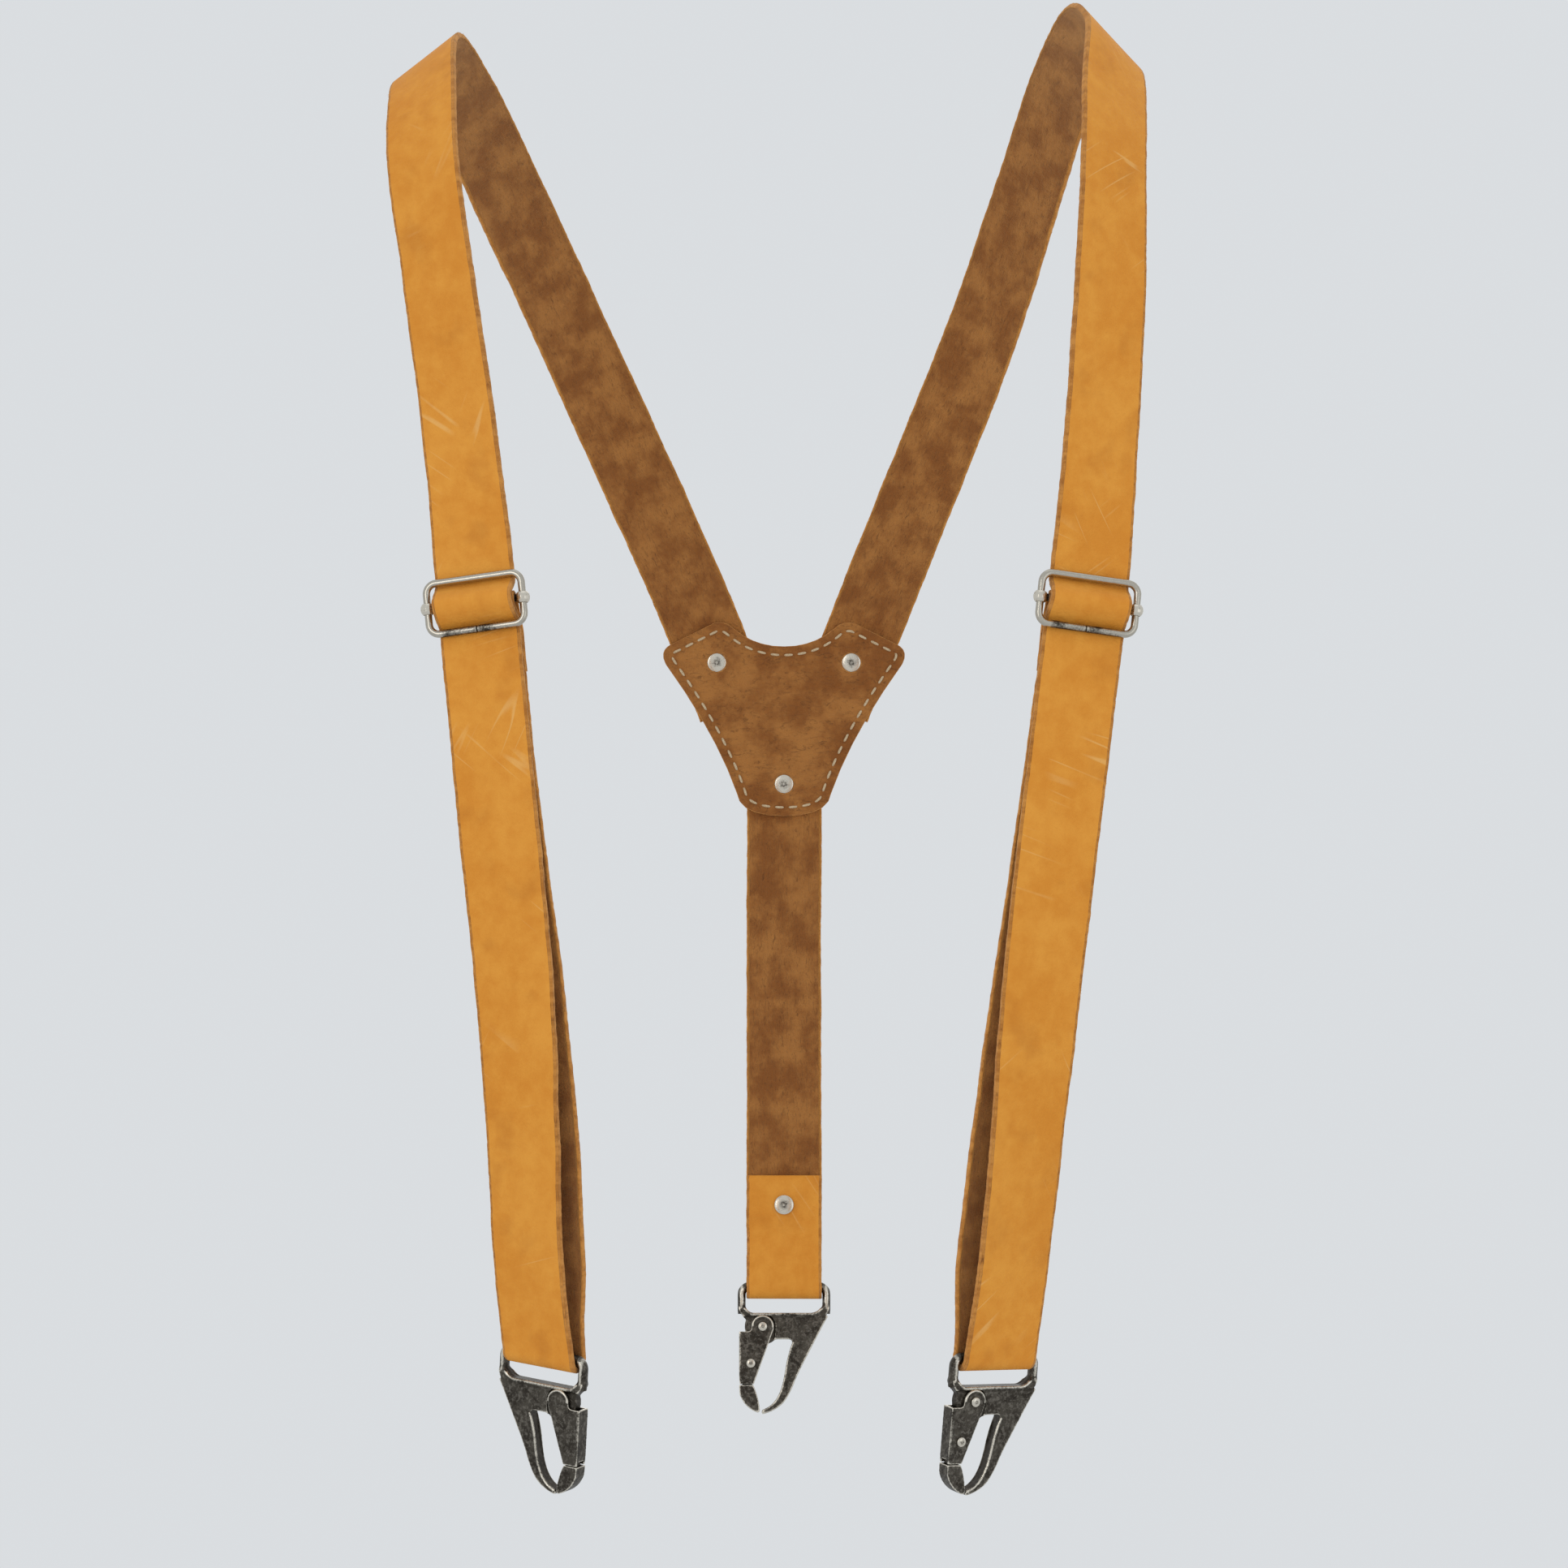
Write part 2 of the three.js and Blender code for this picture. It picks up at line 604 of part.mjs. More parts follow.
function hookOutline() {
  const outer = slotHalf + postWidth;
  const top = hookBarRadius;
  const corner = 2.6;
  const shape = new THREE.Shape();
  shape.moveTo(-slotHalf, top);
  shape.quadraticCurveTo(-outer, top, -outer, top - corner);
  shape.lineTo(-outer, below(-3.6));
  shape.quadraticCurveTo(-outer, below(-1), -outer + 1.9, below(1.6));
  shape.lineTo(-3.4, below(23.5));
  shape.quadraticCurveTo(-0.6, below(29.5), 3, below(32.3));
  shape.quadraticCurveTo(5.2, below(33.8), 7.2, below(34.1));
  shape.quadraticCurveTo(7.9, below(33.6), 7.2, below(32.6));
  shape.quadraticCurveTo(3.4, below(31.2), 1.8, below(27.8));
  shape.quadraticCurveTo(0.6, below(25.5), 0, below(22.5));
  shape.lineTo(-2.7, below(crotchDepth + 1.4));
  shape.quadraticCurveTo(-3, below(crotchDepth), -1.4, below(crotchDepth));
  shape.lineTo(2.6, below(crotchDepth));
  const from = THREE.MathUtils.degToRad(228);
  const to = THREE.MathUtils.degToRad(382);
  shape.lineTo(pivot.x + stubRadius * Math.cos(from), pivot.y + stubRadius * Math.sin(from));
  shape.absarc(pivot.x, pivot.y, stubRadius, from, to, false);
  shape.quadraticCurveTo(outer - 1.6, below(1.2), outer - 0.6, below(-0.6));
  shape.quadraticCurveTo(outer, below(-1.8), outer, below(-3.6));
  shape.lineTo(outer, top - corner);
  shape.quadraticCurveTo(outer, top, slotHalf, top);
  shape.lineTo(slotHalf, below(-2.4));
  shape.quadraticCurveTo(slotHalf, below(0), slotHalf - 2.4, below(0));
  shape.lineTo(-slotHalf + 2.4, below(0));
  shape.quadraticCurveTo(-slotHalf, below(0), -slotHalf, below(-2.4));
  return shape;
}

// The area that the gate's cheeks sweep, which the hook is thinned for.
function pocketOutline() {
  const shape = new THREE.Shape();
  const reach = earRadius + 0.5;
  const right = slotHalf + postWidth + 1;
  shape.moveTo(pivot.x, pivot.y + reach);
  shape.absarc(pivot.x, pivot.y, reach, Math.PI / 2, Math.PI, false);
  shape.lineTo(pivot.x - reach + 0.2, below(crotchDepth - 1));
  shape.lineTo(pivot.x - reach + 2, below(14));
  shape.lineTo(right, below(14));
  shape.lineTo(right, pivot.y + reach - 1.4);
  shape.lineTo(pivot.x + reach, pivot.y + reach - 0.6);
  return shape;
}

function hookBody() {
  const plate = extruded(hookOutline(), hookThickness, true, 6);
  const barLength = 2 * slotHalf + postWidth;
  const bar = new THREE.CylinderGeometry(hookBarRadius, hookBarRadius, barLength, 16)
    .rotateZ(Math.PI / 2);
  const thinning = (hookThickness - stubThickness) / 2;
  const pocket = (side) => extruded(pocketOutline(), thinning + 1, true, 6)
    .translate(0, 0, side * (stubThickness / 2 + (thinning + 1) / 2));
  const bore = drill(gateRivetRadius + runningGap, 12).translate(pivot.x, pivot.y, 0);
  return cut(join(plate, bar), pocket(-1), pocket(1), bore);
}

// Side of the gate: a round ear on the pivot, a shoulder, and a cheek that narrows downwards.
function cheekOutline() {
  const shape = new THREE.Shape();
  const shoulder = below(6.3);
  const from = THREE.MathUtils.degToRad(-6);
  const to = THREE.MathUtils.degToRad(196);
  shape.moveTo(leverEdge, shoulder);
  shape.lineTo(pivot.x + earRadius + 1.2, shoulder);
  shape.quadraticCurveTo(
    pivot.x + earRadius, shoulder + 0.2,
    pivot.x + earRadius * Math.cos(from), pivot.y + earRadius * Math.sin(from));
  shape.absarc(pivot.x, pivot.y, earRadius, from, to, false);
  shape.lineTo(10.2, below(leverLength));
  shape.lineTo(leverEdge - 0.2, below(leverLength));
  shape.lineTo(leverEdge, below(leverLength - 3));
  return shape;
}

function gateLever() {
  const block = extruded(cheekOutline(), channelDepth, true, 6);
  const inner = new THREE.BoxGeometry(40, 60, channelInner);
  inner.translate(leverEdge - cheekThickness - 20, below(10), 0);
  const notch = new THREE.BoxGeometry(3, 2.4, channelInner);
  notch.translate(leverEdge, below(leverLength), 0);
  const bores = [pivot, jawRivetPlace].map((place) => (
    drill(gateRivetRadius + runningGap, 12).translate(place.x, place.y, 0)));
  return cut(block, inner, notch, ...bores);
}

const jawRivetPlace = new THREE.Vector2(11.2, below(17));

// Jaw: a tenon between the cheeks and a claw of full thickness below them.
function gateJaw() {
  const claw = new THREE.Shape();
  const top = below(leverLength + seat);
  claw.moveTo(10.4, top);
  claw.quadraticCurveTo(8.5, below(28.5), 8.2, below(jawTipDepth - 1));
  claw.quadraticCurveTo(8.2, below(jawTipDepth), 9, below(jawTipDepth));
  claw.quadraticCurveTo(13.4, below(jawTipDepth - 1.6), 15, below(27.5));
  claw.lineTo(leverEdge, top);
  const tenon = new THREE.Shape();
  const face = leverEdge - cheekThickness - seat;
  tenon.moveTo(8.6, below(14));
  tenon.lineTo(face, below(14));
  tenon.lineTo(face, below(leverLength + 1));
  tenon.lineTo(11, below(leverLength + 1));
  const bore = drill(gateRivetRadius + runningGap, 12).translate(jawRivetPlace.x, jawRivetPlace.y, 0);
  return cut(
    join(
      extruded(claw, channelDepth, true, 6),
      extruded(tenon, channelInner - 2 * runningGap, true, 1)),
    bore);
}

// Leaf spring between the hook's round stub and the top of the jaw, pushing the gate shut.
function gateSpring() {
  const shape = new THREE.Shape();
  const middle = { x: 10.2, y: below(15.4) };
  const radius = 4.2;
  shape.absarc(middle.x, middle.y, radius, 0.25 * Math.PI, 0.8 * Math.PI, false);
  shape.absarc(middle.x, middle.y, radius - 0.5, 0.8 * Math.PI, 0.25 * Math.PI, true);
  return extruded(shape, channelInner - 1, true, 8);
}

function buildHook(suffix, origin, right, up) {
  const group = seatedGroup(suspenders, origin, right, up);
  addPiece(group, `hook_body_${suffix}`, hookBody(), agedNickel);
  addPiece(group, `gate_lever_${suffix}`, gateLever(), agedNickel);
  addPiece(group, `gate_jaw_${suffix}`, gateJaw(), agedNickel);
  addPiece(group, `gate_spring_${suffix}`, gateSpring(), springSteel);
  const half = channelDepth / 2 + 0.1;
  [["gate_pivot", pivot], ["jaw_rivet", jawRivetPlace]].forEach(([name, place]) => {
    const pin = rivet(-half, half, gateRivetRadius, gateRivetHeadRadius, 0.9, 0.25);
    addPiece(group, `${name}_${suffix}`, pin, brightNickel).position.set(place.x, place.y, 0);
  });
}

// ---- Assembly -------------------------------------------------------------------------------

[["left", leftRoute, -1], ["right", rightRoute, 1]].forEach(([suffix, stations, side]) => {
  const route = layRoute(stations, side);
  const { barCentre, across, down } = buildFrontStrap(suffix, route, side);
  buildAdjuster(suffix, route, side);
  buildHook(suffix, barCentre, across, down.clone().negate());
});
buildPatch();
buildRearStrap();
const rearUp = new THREE.Vector3(0, 0.1, 1);
buildHook("rear", new THREE.Vector3(0, rearBar.y, rearBar.z), new THREE.Vector3(-1, 0, 0), rearUp);

export default suspenders;
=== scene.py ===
import json
import bpy
import numpy as np
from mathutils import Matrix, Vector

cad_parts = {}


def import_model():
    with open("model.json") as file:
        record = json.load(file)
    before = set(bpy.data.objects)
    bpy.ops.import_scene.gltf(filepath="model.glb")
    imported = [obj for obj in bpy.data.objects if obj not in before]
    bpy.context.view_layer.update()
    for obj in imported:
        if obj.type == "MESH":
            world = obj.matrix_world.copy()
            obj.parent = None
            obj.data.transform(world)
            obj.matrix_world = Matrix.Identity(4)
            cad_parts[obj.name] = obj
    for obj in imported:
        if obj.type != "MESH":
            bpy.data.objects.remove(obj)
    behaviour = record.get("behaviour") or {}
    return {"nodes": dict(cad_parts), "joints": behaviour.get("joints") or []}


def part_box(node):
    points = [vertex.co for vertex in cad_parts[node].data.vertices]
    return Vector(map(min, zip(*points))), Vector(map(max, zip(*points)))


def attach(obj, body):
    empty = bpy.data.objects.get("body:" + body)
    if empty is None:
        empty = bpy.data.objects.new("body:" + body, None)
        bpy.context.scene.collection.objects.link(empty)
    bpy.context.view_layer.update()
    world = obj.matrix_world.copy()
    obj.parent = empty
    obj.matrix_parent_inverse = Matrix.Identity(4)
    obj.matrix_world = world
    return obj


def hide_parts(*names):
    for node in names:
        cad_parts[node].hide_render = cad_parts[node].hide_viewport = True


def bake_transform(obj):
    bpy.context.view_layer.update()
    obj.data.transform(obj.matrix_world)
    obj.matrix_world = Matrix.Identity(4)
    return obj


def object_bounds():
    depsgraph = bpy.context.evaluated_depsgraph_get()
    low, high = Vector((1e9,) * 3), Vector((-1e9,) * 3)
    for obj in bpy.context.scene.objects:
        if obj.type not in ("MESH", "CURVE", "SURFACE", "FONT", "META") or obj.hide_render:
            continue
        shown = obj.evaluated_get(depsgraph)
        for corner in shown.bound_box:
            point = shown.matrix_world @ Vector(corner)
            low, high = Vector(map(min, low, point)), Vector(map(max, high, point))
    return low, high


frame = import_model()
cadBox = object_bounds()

mm = 0.001
joints = {joint["name"]: joint for joint in frame["joints"]}


# Shader maths: a Link is one output socket, and arithmetic on it adds the Math nodes.

class Link:
    def __init__(self, graph, socket):
        self.graph = graph
        self.socket = socket

    def math(self, kind, first, second=0.0):
        return self.graph.node("ShaderNodeMath", {"operation": kind}, {0: first, 1: second})

    def __add__(self, other): return self.math("ADD", self, other)
    def __radd__(self, other): return self.math("ADD", other, self)
    def __sub__(self, other): return self.math("SUBTRACT", self, other)
    def __rsub__(self, other): return self.math("SUBTRACT", other, self)
    def __mul__(self, other): return self.math("MULTIPLY", self, other)
    def __rmul__(self, other): return self.math("MULTIPLY", other, self)

    def clip(self):
        return self.math("MAXIMUM", self.math("MINIMUM", self, 1.0), 0.0)

    def step(self, low, high):  # 0 below low, 1 above high, eased between
        return self.graph.node("ShaderNodeMapRange", {"interpolation_type": "SMOOTHSTEP"}, {
            "Value": self, "From Min": low, "From Max": high, "To Min": 0.0, "To Max": 1.0})


class Finish:
    def __init__(self, name):
        self.material = bpy.data.materials.new(name)
        self.material.use_nodes = True
        self.tree = self.material.node_tree
        self.tree.nodes.clear()

    # One node: its settings, then the values or links of its sockets.
    def node(self, kind, settings=None, sockets=None, out=0):
        made = self.tree.nodes.new(kind)
        for key, value in (settings or {}).items():
            setattr(made, key, value)
        for key, value in (sockets or {}).items():
            if isinstance(value, Link):
                self.tree.links.new(value.socket, made.inputs[key])
            elif isinstance(value, tuple) and made.inputs[key].type == "RGBA" and len(value) == 3:
                made.inputs[key].default_value = (*value, 1.0)
            else:
                made.inputs[key].default_value = value
        return Link(self, made.outputs[out])

    def blend(self, share, first, second):  # colour mix: first where share is 0, second where it is 1
        return self.node("ShaderNodeMix", {"data_type": "RGBA"}, {0: share, 6: first, 7: second}, out=2)

    def place(self):  # object coordinates, in metres
        return self.node("ShaderNodeTexCoord", out=3)

    def along(self):  # metres along and across a strap
        return self.node("ShaderNodeUVMap", {"uv_map": "strapMap"})

    def value(self, name):
        return self.node("ShaderNodeAttribute", {"attribute_name": name}, out=2)

    def stretch(self, vector, x, y, z, turn=0.0):
        return self.node("ShaderNodeMapping", {}, {
            "Vector": vector, "Scale": (x, y, z), "Rotation": (0.0, 0.0, turn)})

    def noise(self, vector, scale, detail=4.0, rough=0.55, warp=0.0):
        return self.node("ShaderNodeTexNoise", {}, {
            "Vector": vector, "Scale": scale, "Detail": detail, "Roughness": rough, "Distortion": warp})

    def cells(self, vector, scale, feature="F1"):
        return self.node("ShaderNodeTexVoronoi", {"feature": feature}, {"Vector": vector, "Scale": scale})

    def bump(self, height, distance, strength):
        return self.node("ShaderNodeBump", {}, {"Height": height, "Distance": distance, "Strength": strength})

    def cover(self, shader):
        output = self.tree.nodes.new("ShaderNodeOutputMaterial")
        self.tree.links.new(shader.socket, output.inputs["Surface"])
        return self.material

    def close(self, sockets):
        return self.cover(self.node("ShaderNodeBsdfPrincipled", {}, sockets))


grainTone = {
    "pale": (0.84, 0.36, 0.050), "main": (0.74, 0.275, 0.028), "deep": (0.50, 0.155, 0.014),
    "scratch": (0.92, 0.56, 0.20), "roughness": 0.68,
}


# Grain side: a cloudy mix of two tans, darker in slow patches and specks and along the rims, with pale
# scratches. Its height is pores, creases, mottle and specks added together.
def leatherGrain(name, follow):
    f = Finish(name)
    where = f.along() if follow else f.place()
    cloud = f.noise(where, 26.0, 4.0, 0.6, 0.4)
    mottle = f.noise(where, 170.0, 5.0, 0.65)
    speckle = f.noise(where, 1300.0, 3.0, 0.7)
    pores = f.cells(where, 1500.0)
    creases = f.cells(where, 560.0, "DISTANCE_TO_EDGE")
    tone = f.blend((cloud * 0.55 + mottle * 0.45).step(0.36, 0.66), grainTone["main"], grainTone["pale"])
    dusk = f.noise(where, 62.0, 3.0, 0.5).step(0.54, 0.74) * 0.32
    tone = f.blend(dusk, tone, grainTone["deep"])
    tone = f.blend(speckle.step(0.60, 0.74) * 0.20, tone, grainTone["deep"])
    tone = f.blend(speckle.step(0.45, 0.30) * 0.16, tone, grainTone["pale"])
    # Scratches: thin bands where a noise drawn out along one slanted direction crosses its middle value.
    marks = None
    for turn, seed in ((0.55, 3.1), (-0.85, 7.7), (1.35, 12.3)):
        lane = f.node("ShaderNodeMapping", {}, {
            "Vector": f.stretch(where, 1.0, 1.0, 1.0, turn), "Scale": (9.0, 150.0, 9.0),
            "Location": (seed, seed, 0.0)})
        line = f.noise(lane, 1.0, 1.0, 0.4)
        thin = 1.0 - line.math("ABSOLUTE", line - 0.5).step(0.004, 0.022)
        patch = f.noise(f.stretch(where, 21.0, 21.0, 21.0, turn), 1.0, 2.0).step(0.60, 0.70)
        mark = thin * patch
        marks = mark if marks is None else marks.math("MAXIMUM", marks, mark)
    tone = f.blend(marks * 0.45, tone, grainTone["scratch"])
    rim = f.value("rim")
    worn = (rim + (mottle - 0.5) * 0.5).step(0.55, 1.05)
    tone = f.blend(worn * 0.30, tone, grainTone["deep"])
    height = pores * 0.35 + creases.step(0.0, 0.28) * 0.4 + mottle * 0.9 + speckle * 0.5 - marks * 0.3
    gloss = (grainTone["roughness"] + (mottle - 0.5) * 0.22 + marks * 0.08).clip()
    return f.close({
        "Base Color": tone, "Roughness": gloss, "Specular IOR Level": 0.20, "Sheen Weight": 0.08,
        "Sheen Roughness": 0.5, "Sheen Tint": (1.0, 0.70, 0.36, 1.0),
        "Normal": f.bump(height, 0.00016, 0.75)})


edgeTone = {"pale": (0.66, 0.285, 0.060), "main": (0.44, 0.160, 0.026), "deep": (0.16, 0.050, 0.009)}


# Cut edge: clumps of two browns, with dark fibres drawn out along the edge.
def rawEdge(name, follow):
    f = Finish(name)
    where = f.along() if follow else f.place()
    fibre = f.noise(f.stretch(where, 260.0, 1500.0, 900.0), 1.0, 5.0, 0.7)
    clump = f.noise(where, 340.0, 4.0, 0.7)
    tone = f.blend(clump.step(0.34, 0.66), edgeTone["main"], edgeTone["pale"])
    tone = f.blend(fibre.step(0.52, 0.72) * 0.75, tone, edgeTone["deep"])
    return f.close({
        "Base Color": tone, "Roughness": (0.86 + (clump - 0.5) * 0.2).clip(), "Specular IOR Level": 0.15,
        "Sheen Weight": 0.3, "Sheen Roughness": 0.6, "Sheen Tint": (1.0, 0.72, 0.42, 1.0),
        "Normal": f.bump(fibre + clump, 0.0004, 0.9)})


suedeTone = {"pale": (0.46, 0.185, 0.042), "main": (0.27, 0.085, 0.014), "deep": (0.10, 0.030, 0.006)}


# Flesh side: brown blotches under a nap of short fibres that lie along and across.
def fleshSide(name, follow):
    f = Finish(name)
    where = f.along() if follow else f.place()
    nap = f.noise(f.stretch(where, 380.0, 1300.0, 700.0), 1.0, 5.0, 0.72, 1.2)
    cross = f.noise(f.stretch(where, 1500.0, 420.0, 700.0), 1.0, 4.0, 0.7, 0.8)
    blotch = f.noise(where, 90.0, 4.0, 0.6)
    tone = f.blend(blotch.step(0.36, 0.66), suedeTone["main"], suedeTone["pale"])
    tone = f.blend(nap.step(0.50, 0.72) * 0.7, tone, suedeTone["deep"])
    tone = f.blend(cross.step(0.58, 0.74) * 0.35, tone, suedeTone["pale"])
    return f.close({
        "Base Color": tone, "Roughness": (0.9 + (nap - 0.5) * 0.12).clip(), "Specular IOR Level": 0.12,
        "Sheen Weight": 0.4, "Sheen Roughness": 0.65, "Sheen Tint": (1.0, 0.70, 0.40, 1.0),
        "Normal": f.bump(nap + cross * 0.7, 0.0005, 0.95)})


nickelTone = {
    "patina": (0.088, 0.078, 0.063), "dusky": (0.040, 0.034, 0.027), "silver": (0.215, 0.195, 0.165),
    "bright": (0.74, 0.69, 0.59), "dullness": 0.44, "polish": 0.24,
}


# Aged nickel: dark on the flats, rubbed bright where the wear attribute says the surface stands out. On the
# hook bodies that attribute also holds a painted highlight along the posts and painted shade on the side
# walls.
def agedNickel(name, brightness=1.0, wearShift=0.0):
    f = Finish(name)
    where = f.place()
    cloud = f.noise(where, 210.0, 5.0, 0.68, 0.5)
    grit = f.noise(where, 1700.0, 4.0, 0.72)
    mottle = f.noise(where, 820.0, 6.0, 0.72)
    wearAndLight = f.value("wearAndLight")
    # Bright where rubbed, and on the hook posts also a painted highlight.
    rubbedAndLit = (wearAndLight + wearShift + (grit - 0.5) * 0.5 + (cloud - 0.5) * 0.35).step(0.46, 0.72)
    tone = f.blend(cloud.step(0.38, 0.62), nickelTone["dusky"], nickelTone["patina"])
    tone = f.blend((mottle * 0.75 + grit * 0.25).step(0.47, 0.60) * 0.65, tone, nickelTone["silver"])
    # Dusky where values are low: patina in the hollows, and on the hook bodies painted shade on the side
    # walls.
    hollowAndWallShade = 1.0 - wearAndLight.step(0.02, 0.22)
    tone = f.blend(hollowAndWallShade * 0.7, tone, nickelTone["dusky"])
    tone = f.blend(rubbedAndLit * brightness, tone, nickelTone["bright"])
    pits = f.cells(where, 1100.0).step(0.30, 0.05) * cloud.step(0.45, 0.7)
    tone = f.blend(pits * 0.4, tone, nickelTone["dusky"])
    gloss = (nickelTone["dullness"] - rubbedAndLit * (nickelTone["dullness"] - nickelTone["polish"])
             + (grit - 0.5) * 0.25 + pits * 0.15).clip()
    return f.close({
        "Base Color": tone, "Metallic": (0.97 - pits * 0.3).clip(), "Roughness": gloss,
        "Normal": f.bump(grit * 0.4 + cloud * 0.8 - pits * 0.6, 0.00009, 0.6)})


steelTone = {"main": (0.20, 0.20, 0.205), "stain": (0.10, 0.095, 0.09), "bright": (0.42, 0.42, 0.42)}


# Spring steel: grey with darker stains, under fine bright lines.
def springSteel(name):
    f = Finish(name)
    where = f.place()
    brushed = f.noise(f.stretch(where, 300.0, 300.0, 2600.0), 1.0, 4.0, 0.6)
    stain = f.noise(where, 420.0, 4.0, 0.6)
    tone = f.blend(stain.step(0.4, 0.65), steelTone["main"], steelTone["stain"])
    tone = f.blend(brushed.step(0.5, 0.7) * 0.5, tone, steelTone["bright"])
    return f.close({
        "Base Color": tone, "Metallic": 0.95, "Roughness": (0.34 + stain * 0.2).clip(),
        "Normal": f.bump(brushed, 0.00005, 0.5)})


threadTone = {"pale": (0.70, 0.56, 0.36), "deep": (0.46, 0.32, 0.17)}


# Waxed thread: a fine twist between two creams.
def waxedThread(name):
    f = Finish(name)
    where = f.place()
    twist = f.noise(where, 2600.0, 3.0, 0.6)
    tone = f.blend(twist.step(0.35, 0.7), threadTone["pale"], threadTone["deep"])
    return f.close({
        "Base Color": tone, "Roughness": (0.6 + twist * 0.2).clip(), "Normal": f.bump(twist, 0.0002, 0.8)})


strapGrain = leatherGrain("strapGrain", True)
strapEdge = rawEdge("strapEdge", True)
strapFlesh = fleshSide("strapFlesh", True)
patchGrain = leatherGrain("patchGrain", False)
patchEdge = rawEdge("patchEdge", False)
patchFlesh = fleshSide("patchFlesh", False)
hookNickel = agedNickel("hookNickel", 0.95)
wireNickel = agedNickel("wireNickel", 0.62, 0.06)
rivetNickel = agedNickel("rivetNickel", 0.9, 0.10)
gateSteel = springSteel("gateSteel")
thread = waxedThread("thread")
print("finishes made")


# Mesh from whole arrays: points in metres, groups of faces of one size each, a material number for each
# face, a strap map for each point and named values for each point.
def meshOf(name, points, faces, materials, slots=None, maps=None, values=None):
    mesh = bpy.data.meshes.new(name)
    points = np.ascontiguousarray(points, np.float32)
    loops = np.concatenate([group.ravel() for group in faces]).astype(np.int32)
    sizes = np.concatenate([np.full(len(group), group.shape[1]) for group in faces]).astype(np.int32)
    mesh.vertices.add(len(points))
    mesh.vertices.foreach_set("co", points.ravel())
    mesh.loops.add(len(loops))
    mesh.loops.foreach_set("vertex_index", loops)
    mesh.polygons.add(len(sizes))
    mesh.polygons.foreach_set("loop_start", np.concatenate([[0], np.cumsum(sizes)[:-1]]).astype(np.int32))
    mesh.polygons.foreach_set("use_smooth", np.ones(len(sizes), bool))
    for material in materials:
        mesh.materials.append(material)
    if slots is not None:
        mesh.polygons.foreach_set("material_index", np.asarray(slots, np.int32))
    mesh.update(calc_edges=True)
    if maps is not None:
        layer = mesh.uv_layers.new(name="strapMap")
        layer.data.foreach_set("uv", np.asarray(maps, np.float32)[loops].ravel())
    for key, value in (values or {}).items():
        mesh.attributes.new(key, "FLOAT", "POINT").data.foreach_set("value", np.asarray(value, np.float32))
    mesh.validate()
    piece = bpy.data.objects.new(name, mesh)
    bpy.context.scene.collection.objects.link(piece)
    return piece


# Six times the volume of a closed set of faces, summed over fans of triangles: positive when they point
# outwards.
def volumeOf(points, faces):
    total = 0.0
    for group in faces:
        for k in range(1, group.shape[1] - 1):
            a, b, c = points[group[:, 0]], points[group[:, k]], points[group[:, k + 1]]
            total += np.einsum("ij,ij->i", a, np.cross(b, c)).sum()
    return total


# The same faces, turned over if their volume is negative.
def outward(points, faces):
    return faces if volumeOf(points, faces) > 0 else [group[:, ::-1] for group in faces]


# Quads between neighbouring rings of a grid whose second direction closes on itself.
def ringFaces(rings, around, closed=False):
    i = np.arange(rings if closed else rings - 1)[:, None]
    j = np.arange(around)[None, :]
    a = i * around + j
    b = i * around + (j + 1) % around
    c = ((i + 1) % rings) * around + (j + 1) % around
    d = ((i + 1) % rings) * around + j
    return np.stack(np.broadcast_arrays(a, b, c, d), axis=-1).reshape(-1, 4)


# Smooth random wander along a length: random values on an even lattice, joined by eased steps.
def wander(s, lattice, seed):
    values = np.random.default_rng(seed).uniform(-1, 1, 4096)
    x = s / lattice + 1000.0  # keeps a length just below nothing in the lattice
    k = np.floor(x).astype(int)
    w = x - k
    w = w * w * (3 - 2 * w)
    return values[k % 4096] * (1 - w) + values[(k + 1) % 4096] * w


# Eased step from 0 at low to 1 at high: 3t squared minus 2t cubed.
def ease(x, low, high):
    t = np.clip((x - low) / (high - low), 0, 1)
    return t * t * (3 - 2 * t)


def unit(v):
    return v / np.maximum(np.linalg.norm(v, axis=-1, keepdims=True), 1e-12)


# Points on an arc of a circle, from one angle to another in degrees.
def arcPoints(centre, radius, start, stop, count):
    angle = np.radians(np.linspace(start, stop, count))
    return np.stack([centre[0] + radius * np.cos(angle), centre[1] + radius * np.sin(angle)], 1)


# Route of a front strap, the same as the frame's, from the patch to the hook: x, y and z in millimetres,
# then the strap's yaw and rise in degrees.
leftRoute = [
    (14.6, 111, -216, 0, 21), (23, 111, -194.5, 0, 21), (31.4, 111, -173, 0, 22), (52, 105.5, -127, -6, 26),
    (72, 93, -83, -12, 32), (90, 72, -44, -14, 37), (104, 43, -15, -8, 40), (113, 12, -1, 0, 40),
    (116, -14, -3, 8, 36), (115.6, -38, -17, 18, 26), (114.2, -57, -39, 26, 14), (107.5, -76, -82, 27, 8),
    (98.9, -93.5, -142, 21, 7), (94.9, -101, -180.5, 12, 7), (88.3, -108.5, -245, 11, 6),
    (83.2, -111.5, -295, 16, 5), (80.3, -111.5, -345, 28, 2), (78.6, -110, -385, 32, -3),
    (75.6, -108.5, -412, 30, -7),
]
